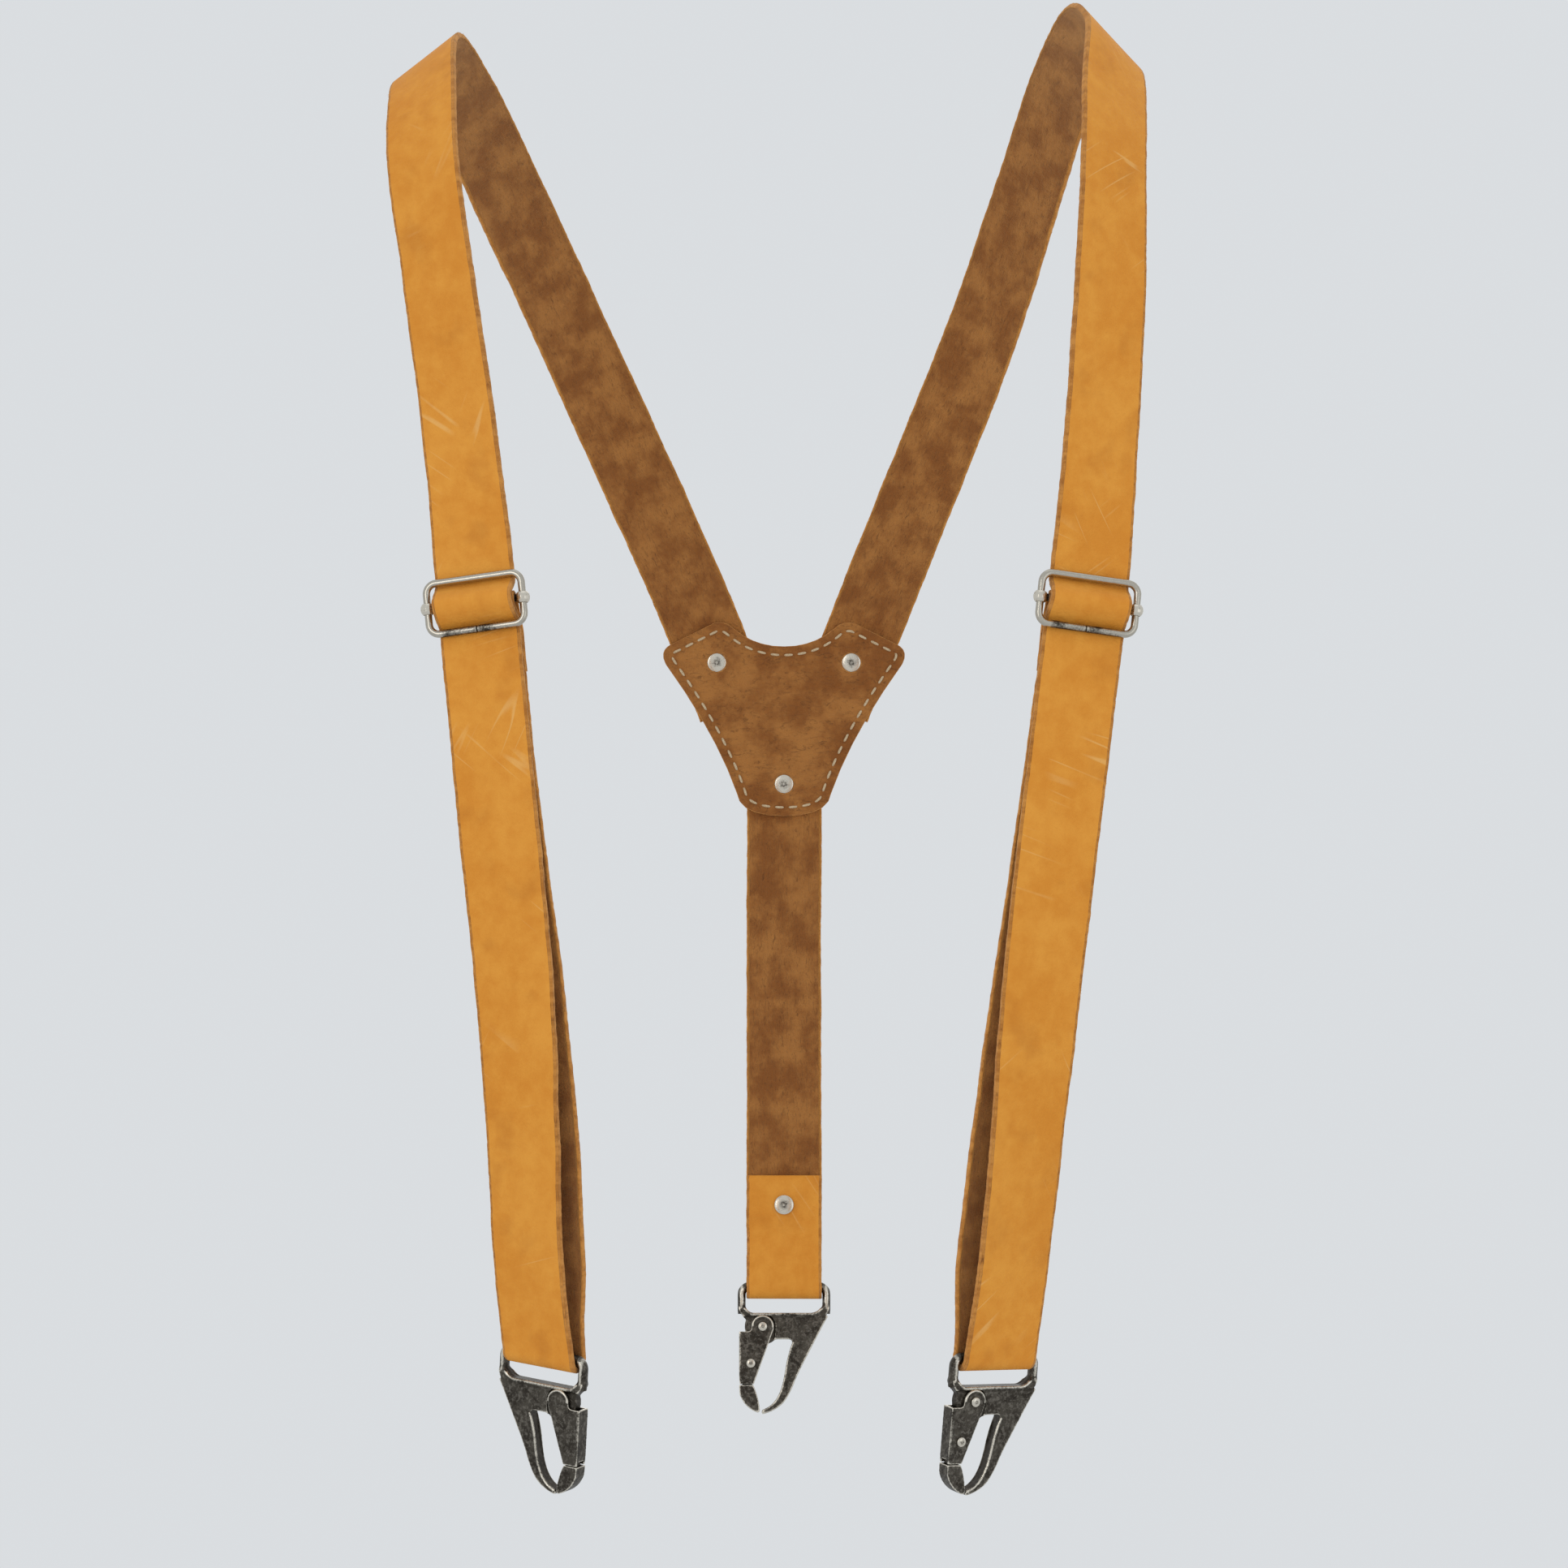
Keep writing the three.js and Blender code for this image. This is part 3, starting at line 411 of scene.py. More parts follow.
rightRoute = [
    (14.6, 111, -216, 0, 21), (23, 111, -194.5, 0, 21), (31.4, 111, -173, 0, 22), (50, 105.5, -127, -6, 27),
    (68, 93.5, -81, -12, 34), (82, 75, -38, -14, 42), (93, 50, -4, -10, 48), (101, 18, 9, 0, 50),
    (106.5, -10, 3, 12, 44), (105.6, -36, -15, 24, 30), (104.3, -57, -39, 33, 14), (102.1, -76, -82, 28, 6),
    (97.5, -93.5, -142, 22, 7), (93.6, -101, -180.5, 10, 8), (85.6, -108.5, -245, 10, 7),
    (79.7, -111.5, -295, 15, 6), (74.7, -111.5, -345, 28, 5), (70.6, -110, -385, 32, 3),
    (66.6, -108.5, -413, 30, 1.5),
]
adjusterStation = 13  # the adjuster's place in both lists
stepsPerStation = 40

strapSize = {
    "width": 25.4, "thickness": 2.0, "skived": 1.0, "corner": 0.5, "foldRadius": 3.3, "loopOpening": 9.0,
    "closedGap": 2.3, "waver": 0.16, "fray": 0.10, "ripple": 0.10, "rimWidth": 2.6, "station": 1.1,
    "hairsPerMm": 7.0, "hairLength": 0.55, "hairRadius": 0.035, "passHalf": 7.4, "passRise": 6.65,
    "upperSeed": {"left": 20, "right": 40}, "lowerSeed": {"left": 60, "right": 80}, "rearSeed": 100,
}


# Cubic through the points span by span, each end slope drawn from its neighbours, a missing one mirrored.
# Centripetal slopes are weighted by the square root of each chord, plain ones are half the chord across.
def curveThrough(points, t, centripetal):
    points = np.asarray(points, float)
    padded = np.vstack([2 * points[0] - points[1], points, 2 * points[-1] - points[-2]])
    spans = len(points) - 1
    k = np.minimum((t * spans).astype(int), spans - 1)
    w = (t * spans - k)[:, None]
    a, b, c, d = (padded[k + j] for j in range(4))
    if centripetal:
        ab, bc, cd = (np.sqrt(np.linalg.norm(q - p, axis=1, keepdims=True))
                      for p, q in ((a, b), (b, c), (c, d)))
        leave = ((b - a) / ab - (c - a) / (ab + bc) + (c - b) / bc) * bc
        arrive = ((c - b) / bc - (d - b) / (bc + cd) + (d - c) / cd) * bc
    else:
        leave = (c - a) / 2
        arrive = (d - b) / 2
    square = 3 * (c - b) - 2 * leave - arrive
    cube = 2 * (b - c) + leave + arrive
    return b + leave * w + square * w ** 2 + cube * w ** 3


class Route:
    def __init__(self, stations, side):
        self.side = side
        table = np.asarray(stations, float)
        self.points = table[:, :3] * (side, 1, 1)
        self.turns = table[:, 3:]
        self.samples = stepsPerStation * (len(table) - 1)
        laid = curveThrough(self.points, np.linspace(0, 1, self.samples + 1), True)
        self.lengths = np.concatenate([[0], np.cumsum(np.linalg.norm(np.diff(laid, axis=0), axis=1))])
        self.zero = self.lengths[stepsPerStation * adjusterStation]
        self.start = -self.zero
        self.end = self.lengths[-1] - self.zero

    # At length s below the adjuster: the point, the direction across, the face normal and the tangent.
    def at(self, s):
        sample = np.interp(np.asarray(s, float) + self.zero, self.lengths, np.arange(self.samples + 1))
        t = sample / self.samples
        ahead = curveThrough(self.points, np.clip(t + 1e-4, 0, 1), True)
        behind = curveThrough(self.points, np.clip(t - 1e-4, 0, 1), True)
        tangent = unit(ahead - behind)
        yaw, rise = np.radians(curveThrough(self.turns, t, False)).T
        level = np.cos(rise)
        across = np.stack([-self.side * np.cos(yaw) * level, -np.sin(yaw) * level, np.sin(rise)], 1)
        normal = unit(np.cross(tangent, across) * -self.side)
        return curveThrough(self.points, t, True), across, normal, tangent


# Outline of a strap's cut section: a rectangle with rounded corners. Each point is a corner centre in
# -1..1, a unit arc direction, and 0 for grain, 1 for the cut edge or 2 for the flesh side.
def strapSection():
    flat = np.sin(np.linspace(-1, 1, 17) * 1.45)[1:-1] / np.sin(1.45)
    arc = np.radians([0, 22, 45, 68, 90])
    parts = [np.stack([flat, np.ones(15), np.zeros(15), np.ones(15), np.zeros(15)], 1)]
    for sx, sy, turn in ((1, 1, 90), (1, -1, 0), (-1, -1, -90), (-1, 1, 180)):
        angle = np.radians(turn) - arc
        corner = np.stack([np.full(5, sx), np.full(5, sy), np.cos(angle), np.sin(angle), np.ones(5)], 1)
        parts.append(corner)
        if (sx, sy) == (1, 1):
            parts.append(np.array([[1, 0, 1, 0, 1.0]]))
        if (sx, sy) == (1, -1):
            parts.append(np.stack([-flat, -np.ones(15), np.zeros(15), -np.ones(15), np.full(15, 2)], 1))
        if (sx, sy) == (-1, -1):
            parts.append(np.array([[-1, 0, -1, 0, 1.0]]))
    return np.vstack(parts)


section = strapSection()


# A strap: the cut section carried along a path. A point is the path point, plus half the width across,
# plus half the thickness along the normal, with the edges wandering a little and the face rippling.
def strapPiece(name, points, across, normal, thickness, seed):
    size = strapSize
    run = np.concatenate([[0], np.cumsum(np.linalg.norm(np.diff(points, axis=0), axis=1))])
    cx, cy, ax, ay, kind = section.T
    half = size["width"] / 2
    radius = np.minimum(size["corner"], thickness * 0.42)[:, None]
    edgeLeft = size["waver"] * wander(run, 11, seed) + size["fray"] * wander(run, 1.4, seed + 1)
    edgeRight = size["waver"] * wander(run, 13, seed + 2) + size["fray"] * wander(run, 1.3, seed + 3)
    edges = np.where(cx[None, :] > 0, edgeRight[:, None], edgeLeft[:, None])
    reach = half + edges * np.abs(cx)[None, :] ** 6
    out = cx[None, :] * (reach - radius) + ax[None, :] * radius
    lift = cy[None, :] * (thickness[:, None] / 2 - radius) + ay[None, :] * radius
    sway = wander(run, 17, seed + 4)[:, None] + 0.5 * wander(run, 6, seed + 5)[:, None] * cx[None, :]
    sway = size["ripple"] * sway
    lift = lift + sway * ease(run, 0, 12)[:, None] * ease(run[-1] - run, 0, 12)[:, None]
    grid = points[:, None] + across[:, None] * out[..., None] + normal[:, None] * lift[..., None]
    count, around = out.shape
    body = ringFaces(count, around)
    kinds = np.where((kind[None, :] == 1) | (np.roll(kind, -1)[None, :] == 1), 1, kind[None, :])
    slots = np.broadcast_to(kinds, (count - 1, around)).reshape(-1).astype(int)
    caps = np.stack([np.arange(around)[::-1], (count - 1) * around + np.arange(around)])
    rim = np.clip((np.abs(out) - (half - size["rimWidth"])) / size["rimWidth"], 0, 1)
    depth = np.where(kind == 2, 0.1 + cx * half * mm, cx * half * mm)
    maps = np.stack([np.broadcast_to(run[:, None] * mm + seed * 0.37, out.shape),
                     np.broadcast_to(depth[None, :] + ay[None, :] * 0.0006, out.shape)], -1)
    vertices = grid.reshape(-1, 3)
    faces = outward(vertices, [body, caps])

    # Loose fibres: thin four-faced needles standing out of both cut edges.
    n = int(run[-1] * size["hairsPerMm"])
    pick = np.random.default_rng(seed + 9)
    k = pick.integers(2, count - 2, n)
    way = pick.choice([-1.0, 1.0], n)
    side = across[k] * way[:, None]
    edge = np.where(way > 0, edgeRight[k], edgeLeft[k])
    lowHigh = pick.uniform(-0.9, 0.9, n) * (thickness[k] / 2)
    base = points[k] + side * (half + edge - 0.12)[:, None] + normal[k] * lowHigh[:, None]
    base = base + unit(points[k + 1] - points[k]) * pick.uniform(0, size["station"], n)[:, None]
    leanOut = normal[k] * pick.normal(0, 0.7, (n, 1))
    leanAlong = np.cross(side, normal[k]) * pick.normal(0, 0.8, (n, 1))
    aim = unit(side + leanOut + leanAlong)
    reachOut = size["hairLength"] * pick.uniform(0.3, 1.0, n) ** 1.6
    tip = base + aim * reachOut[:, None]
    wide = unit(np.cross(aim, normal[k]))
    tall = np.cross(aim, wide)
    foot = [base + (wide * np.cos(a) + tall * np.sin(a)) * size["hairRadius"] for a in (0, 2.1, 4.2)]
    needles = np.stack([*foot, tip], 1).reshape(-1, 3)
    first = len(vertices) + 4 * np.arange(n)[:, None]
    triangles = (first[:, None] + np.array([[0, 1, 3], [1, 2, 3], [2, 0, 3], [0, 2, 1]])).reshape(-1, 3)
    vertices = np.vstack([vertices, needles])
    faces = [*faces, *outward(vertices, [triangles])]
    slots = np.concatenate([slots, np.ones(2 + len(triangles), int)])
    mapRows = np.vstack([maps.reshape(-1, 2), np.repeat(maps[k, around // 4], 4, axis=0)])
    rimRows = np.concatenate([rim.reshape(-1), np.ones(4 * n)])
    return meshOf(name, vertices * mm, faces, [strapGrain, strapEdge, strapFlesh], slots, mapRows,
                  {"rim": rimRows})


# Rise of the strap over the adjuster's bar: one cosine wave, nothing at its ends.
def passLift(s):
    half = strapSize["passHalf"]
    return np.where(np.abs(s) < half, strapSize["passRise"] * (0.5 + 0.5 * np.cos(np.pi * s / half)), 0)


# Lengths along the strap from the adjuster: upperBendStart and upperBendEnd on the upper strap, measured
# along bendWay, and bendMargin from the adjuster and from the fold on the lower one. The points at these
# lengths are worked out below but nothing uses them.
bendSize = {
    "startTrim": 6.0, "overlap": -8.0, "upperBendStart": -158.0, "upperBendEnd": -14.0, "bendMargin": 22.0,
}
bendWay = np.array([0, -0.73, -0.685])

# The thinned end: length below the bar, and height over the route. It comes up behind, turns round the
# bar, and lies flat behind itself, held by the end rivet.
wrapRise = [
    (24, -2.6), (21, -2.66), (18, -2.7), (15.5, -2.73), (13, -2.75), (11, -2.68), (9.5, -2.55), (8, -2.3),
    (7, -2.0), (6, -1.65), (5, -1.05), (4.1, -0.3), (3.1, 0.95)]
wrapFall = [
    (-0.6, 0.1), (0.9, -1.0), (2.4, -1.65), (4, -2.2), (5.5, -2.85), (7, -3.4), (8.5, -3.75), (10, -4.0),
    (13, -4.15), (15.5, -4.15), (18, -4.15), (20, -4.15), (22, -4.15)]
wrapTurn = {"radius": 1.9, "height": 2.45, "from": 10, "to": 220}


# A front strap in two pieces, along the route: an upper one from the patch to the adjuster, and a lower
# one over the bar, down the front, round the hook, up behind, and round the bar with its thinned end.
def frontStrap(suffix, route):
    side = route.side
    size = strapSize
    first, last = route.start + bendSize["startTrim"], bendSize["overlap"]
    step = (last - first) / round((last - first) / size["station"])
    s = np.arange(first, last + 1e-6, step)
    point, across, normal, _ = route.at(s)
    thick = np.full(len(s), size["thickness"])
    upper = strapPiece(f"upperStrap_{suffix}", point, across, normal, thick, size["upperSeed"][suffix])
    start = route.at(np.array([bendSize["upperBendStart"]]))[0][0]
    reach = (route.at(np.array([bendSize["upperBendEnd"]]))[0][0] - start) @ bendWay
    end = start + bendWay * reach
    tuple(start * mm)
    tuple(end * mm)
    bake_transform(upper)
    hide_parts(f"shoulder_strap_{suffix}", f"strap_travel_{suffix}")

    # The lower strap's path, one stretch after another.
    s = np.linspace(bendSize["overlap"], 14.0, 56)
    point, across, normal, _ = route.at(s)
    path = [point + normal * passLift(s)[:, None]]
    sides = [across]
    s = np.arange(15.0, route.end - 1, size["station"])
    point, across, normal, _ = route.at(s)
    path.append(point)
    sides.append(across)
    (endPoint,), (endAcross,), (endNormal,), (endTangent,) = route.at(np.array([route.end]))
    barCentre = endPoint - endNormal * size["foldRadius"]
    down = unit(endTangent - endAcross * (endTangent @ endAcross))
    angle = np.linspace(0, np.pi, 25)[:, None]
    path.append(barCentre + size["foldRadius"] * (endNormal * np.cos(angle) + down * np.sin(angle)))
    sides.append(np.repeat(endAcross[None], 25, 0))
    s = np.arange(route.end - 1, 26.0, -size["station"])
    point, across, normal, _ = route.at(s)
    lower = ease(s, 25, route.end - 30)
    near = ease(route.end - s, 0, 30)
    spread = size["closedGap"] + (size["loopOpening"] - size["closedGap"]) * lower
    deep = 2 * size["foldRadius"] + (spread - 2 * size["foldRadius"]) * near
    path.append(point - normal * deep[:, None] + across * (2.2 * near * lower)[:, None])
    sides.append(across)
    around = arcPoints((0, wrapTurn["height"]), wrapTurn["radius"], wrapTurn["from"], wrapTurn["to"], 22)
    wrap = np.vstack([wrapRise, around, wrapFall])
    (centre,), (zeroAcross,), (zeroNormal,), (zeroTangent,) = route.at(np.array([0.0]))
    path.append(centre + wrap[:, :1] * zeroTangent + wrap[:, 1:] * zeroNormal)
    sides.append(np.repeat(zeroAcross[None], len(wrap), 0))
    plyCount = sum(len(p) for p in path[:-1])
    path, sides = np.vstack(path), np.vstack(sides)
    along = np.gradient(path, axis=0)
    normals = unit(np.cross(along, sides) * -side)
    thick = np.full(len(path), size["thickness"])
    thinning = np.arange(len(path) - plyCount + 8)
    thick[plyCount - 8:] = np.interp(thinning, [0, 9], [size["thickness"], size["skived"]])
    lowerPiece = strapPiece(f"lowerStrap_{suffix}", path, sides, normals, thick, size["lowerSeed"][suffix])
    start = route.at(np.array([bendSize["bendMargin"]]))[0][0]
    end = route.at(np.array([route.end - bendSize["bendMargin"]]))[0][0]
    tuple(start * mm)
    tuple(end * mm)
    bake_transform(lowerPiece)
    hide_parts(f"strap_front_ply_{suffix}", f"strap_back_ply_{suffix}", f"strap_fold_{suffix}")


routes = {"left": Route(leftRoute, -1), "right": Route(rightRoute, 1)}
for suffix, route in routes.items():
    frontStrap(suffix, route)
print("front straps made")

rearSize = {"barY": 89.0, "barZ": -406.0, "top": -221.0, "seamHeight": 27.0, "plane": 111.0}


# The rear strap: a curve down the back, half a turn round the hook's bar, and a tail that a rivet closes
# against it. The tail is the curve moved inwards by the eased gap. Returns the rivet's centre and
# direction.
def rearStrap():
    size = rearSize
    fold = strapSize["foldRadius"]
    knots = np.array([
        *((0, size["plane"], size["top"] - drop) for drop in (0, 15, 30)),
        (0, 107.5, -292), (0, 100.5, -342), (0, 95.2, -380), (0, size["barY"] + fold, size["barZ"])], float)
    fine = curveThrough(knots, np.linspace(0, 1, 1201), True)
    lengths = np.concatenate([[0], np.cumsum(np.linalg.norm(np.diff(fine, axis=0), axis=1))])
    total = lengths[-1]

    def at(s):
        point = np.stack([np.interp(s, lengths, fine[:, k]) for k in range(3)], 1)
        ahead = np.stack([np.interp(s + 0.5, lengths, fine[:, k]) for k in range(3)], 1)
        behind = np.stack([np.interp(s - 0.5, lengths, fine[:, k]) for k in range(3)], 1)
        return point, unit(ahead - behind)

    outer, _ = at(np.linspace(0, total - 1, 170))
    angle = np.linspace(0, np.pi, 25)[:, None]
    bend = np.array([0, size["barY"], size["barZ"]]) + fold * (
        np.cos(angle) * np.array([0, 1, 0]) + np.sin(angle) * np.array([0, 0, -1]))
    up = np.linspace(1.0, size["seamHeight"] + 10, 34)
    point, slope = at(total - up)
    face = unit(np.cross([1, 0, 0], slope))
    near = ease(up, 0, size["seamHeight"] - 6)
    deep = 2 * fold + (strapSize["closedGap"] - 2 * fold) * near
    tail = point - face * deep[:, None]
    path = np.vstack([outer, bend, tail])
    across = np.repeat(np.array([[1.0, 0, 0]]), len(path), 0)
    normals = unit(np.cross(across, np.gradient(path, axis=0)))
    thick = np.full(len(path), strapSize["thickness"])
    piece = strapPiece("rearStrap", path, across, normals, thick, strapSize["rearSeed"])
    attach(piece, "harness")
    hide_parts("rear_strap")
    seam, slope = at(np.array([total - size["seamHeight"]]))
    face = unit(np.cross([1, 0, 0], slope))[0]
    return seam[0] - face * strapSize["closedGap"] / 2, face


rearSeam, rearFace = rearStrap()
print("rear strap made")


# Values of one array for each part of a mesh.
def readAll(parts, key, width, kind=np.float32):
    values = np.zeros(len(parts) * width, kind)
    parts.foreach_get(key, values)
    return values.reshape(-1, width)


# A closed copy of a CAD node, joined with extra closed solids, then made one even skin of voxels and
# eased by moving each point towards the mean of its neighbours and half as far back. Sizes are in
# millimetres.
def castPiece(name, node, extras, voxel, rounds, materials, slotOf=None, wearScale=0.16, reshape=None,
              rubbingAndLight=None):
    mesh = frame["nodes"][node].data
    mesh.calc_loop_triangles()
    corners = readAll(mesh.loop_triangles, "vertices", 3, np.int32)
    whole, back = np.unique(np.round(readAll(mesh.vertices, "co", 3), 7), axis=0, return_inverse=True)
    points = [whole.astype(float)]
    faces = [back.reshape(-1)[corners]]
    count = len(whole)
    for verts, groups in extras:
        points.append(verts)
        for group in groups:
            for k in range(1, group.shape[1] - 1):
                faces.append(np.stack([group[:, 0], group[:, k], group[:, k + 1]], 1) + count)
        count += len(verts)
    rough = meshOf(f"{name}Rough", np.vstack(points), [np.vstack(faces)], [])
    remesh = rough.modifiers.new("skin", "REMESH")
    remesh.mode = "VOXEL"
    remesh.voxel_size = voxel * mm
    bpy.context.view_layer.update()
    skin = bpy.data.meshes.new_from_object(rough.evaluated_get(bpy.context.evaluated_depsgraph_get()))
    bpy.data.objects.remove(rough)
    co = readAll(skin.vertices, "co", 3).astype(float)
    edges = readAll(skin.edges, "vertices", 2, np.int32)
    n = len(co)
    degree = np.bincount(edges.ravel(), minlength=n)[:, None]

    def average(values):
        total = np.stack([np.bincount(edges[:, 0], values[edges[:, 1], k], n)
                          + np.bincount(edges[:, 1], values[edges[:, 0], k], n)
                          for k in range(values.shape[1])], 1)
        return total / degree

    if reshape:
        co = reshape(co)
    for _ in range(rounds):
        co = co + 0.6 * (average(co) - co)
        co = co - 0.62 * (average(co) - co) * 0.5
    skin.vertices.foreach_set("co", co.astype(np.float32).ravel())
    skin.update()
    # Wear: how far a point stands out, along its normal, from the mean of the half millimetre or so
    # around it.
    normals = readAll(skin.vertices, "normal", 3)
    mean = co
    for _ in range(int(round((0.55 / voxel) ** 2 * 1.4)) + 2):
        mean = average(mean)
    stands = np.einsum("ij,ij->i", co - mean, normals) / mm
    for _ in range(2):
        stands = average(stands[:, None])[:, 0]
    wearAndLight = np.clip(0.25 + stands / wearScale * 0.5, 0, 1)
    # For the hook bodies the function passed in here adds a painted highlight along the posts and painted
    # shade on the side walls.
    if rubbingAndLight:
        wearAndLight = np.clip(rubbingAndLight(co, wearAndLight), 0, 1)
    skin.attributes.new("wearAndLight", "FLOAT", "POINT").data.foreach_set("value", wearAndLight.astype(np.float32))
    skin.polygons.foreach_set("use_smooth", np.ones(len(skin.polygons), bool))
    skin.materials.clear()
    for material in materials:
        skin.materials.append(material)
    if slotOf is not None:
        slots = slotOf(readAll(skin.polygons, "normal", 3))
        skin.polygons.foreach_set("material_index", slots.astype(np.int32))
    skin.name = name
    piece = bpy.data.objects.new(name, skin)
    bpy.context.scene.collection.objects.link(piece)
    return piece


# A rod: circles of the given radius set square to a path, stretched along up, with closed ends.
def rod(path, radius, up, stretched, around=16):
    path = np.asarray(path, float)
    along = unit(np.gradient(path, axis=0))
    up = unit(np.asarray(up, float))
    beside = unit(np.cross(along, up))
    angle = np.linspace(0, 2 * np.pi, around, endpoint=False)
    radius = np.broadcast_to(radius, len(path))
    ring = (beside[:, None] * np.cos(angle)[None, :, None]
            + up[None, None] * np.sin(angle)[None, :, None] * stretched) * radius[:, None, None]
    verts = (path[:, None] + ring).reshape(-1, 3)
    caps = np.stack([np.arange(around)[::-1], (len(path) - 1) * around + np.arange(around)])
    return verts, outward(verts, [ringFaces(len(path), around), caps])


# Turned shape: a profile of radius and height carried round an axis, its two ends on the axis. Wear grows
# with the distance from the axis.
def turned(name, centre, axis, profile, dullBelow=False, around=48):
    axis = unit(np.asarray(axis, float))
    beside = unit(np.cross(axis, [0.3, 0.9, 0.2]))
    third = np.cross(axis, beside)
    angle = np.linspace(0, 2 * np.pi, around, endpoint=False)
    inner = np.asarray(profile[1:-1], float)
    circle = beside[None] * np.cos(angle)[:, None] + third[None] * np.sin(angle)[:, None]
    verts = (inner[:, None, :1] * circle[None] + inner[:, None, 1:] * axis[None, None]).reshape(-1, 3)
    bottom, top = len(verts), len(verts) + 1
    verts = np.vstack([verts, axis * profile[0][1], axis * profile[-1][1]]) + np.asarray(centre)
    ring = np.arange(around)
    last = (len(inner) - 1) * around
    ends = np.vstack([np.stack([np.full(around, bottom), (ring + 1) % around, ring], 1),
                      np.stack([np.full(around, top), last + ring, last + (ring + 1) % around], 1)])
    faces = outward(verts, [ringFaces(len(inner), around), ends])
    rows = np.asarray(profile, float)
    worn = np.clip(0.32 + 0.5 * rows[:, 0] / rows[:, 0].max(), 0, 1)
    if dullBelow:
        worn = np.where(rows[:, 1] < 0, 0.24, worn)
    wearAndLight = np.concatenate([np.repeat(worn[1:-1], around), [0.24 if dullBelow else 0.55, 0.55]])
    return meshOf(name, verts * mm, faces, [rivetNickel], values={"wearAndLight": wearAndLight})


# A rivet's two domed heads and its shank as one outline: each dome is a quarter ellipse on a low rim, and
# a peened one is a little dished.
def rivetProfile(low, high, shank, head, lowDome, highDome, peened=False):
    angle = np.radians(np.linspace(90, 0, 9))
    below = [(head * np.cos(a), low - lowDome * (0.35 + 0.65 * np.sin(a))) for a in angle]
    above = [(head * np.cos(a), high + highDome * (0.35 + 0.65 * np.sin(a))) for a in angle[::-1]]
    below[0] = (0.0, below[0][1])
    above[-1] = (0.0, above[-1][1])
    if peened:
        above[-1] = (0.0, above[-1][1] - highDome * 0.25)
    edge = [(head, low - lowDome * 0.1), (head * 0.985, low), (shank, low), (shank, high),
            (head * 0.985, high), (head, high + highDome * 0.1)]
    return below + edge + above


def nodeCentre(node):
    low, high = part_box(node)
    return (np.array(low) + np.array(high)) / 2 / mm


# Adjusters
adjusterSize = {
    "wireRadius": 1.15, "width": 30.5, "height": 16.0, "corner": 3.3, "seamGap": 0.14, "forward": 2.45,
}


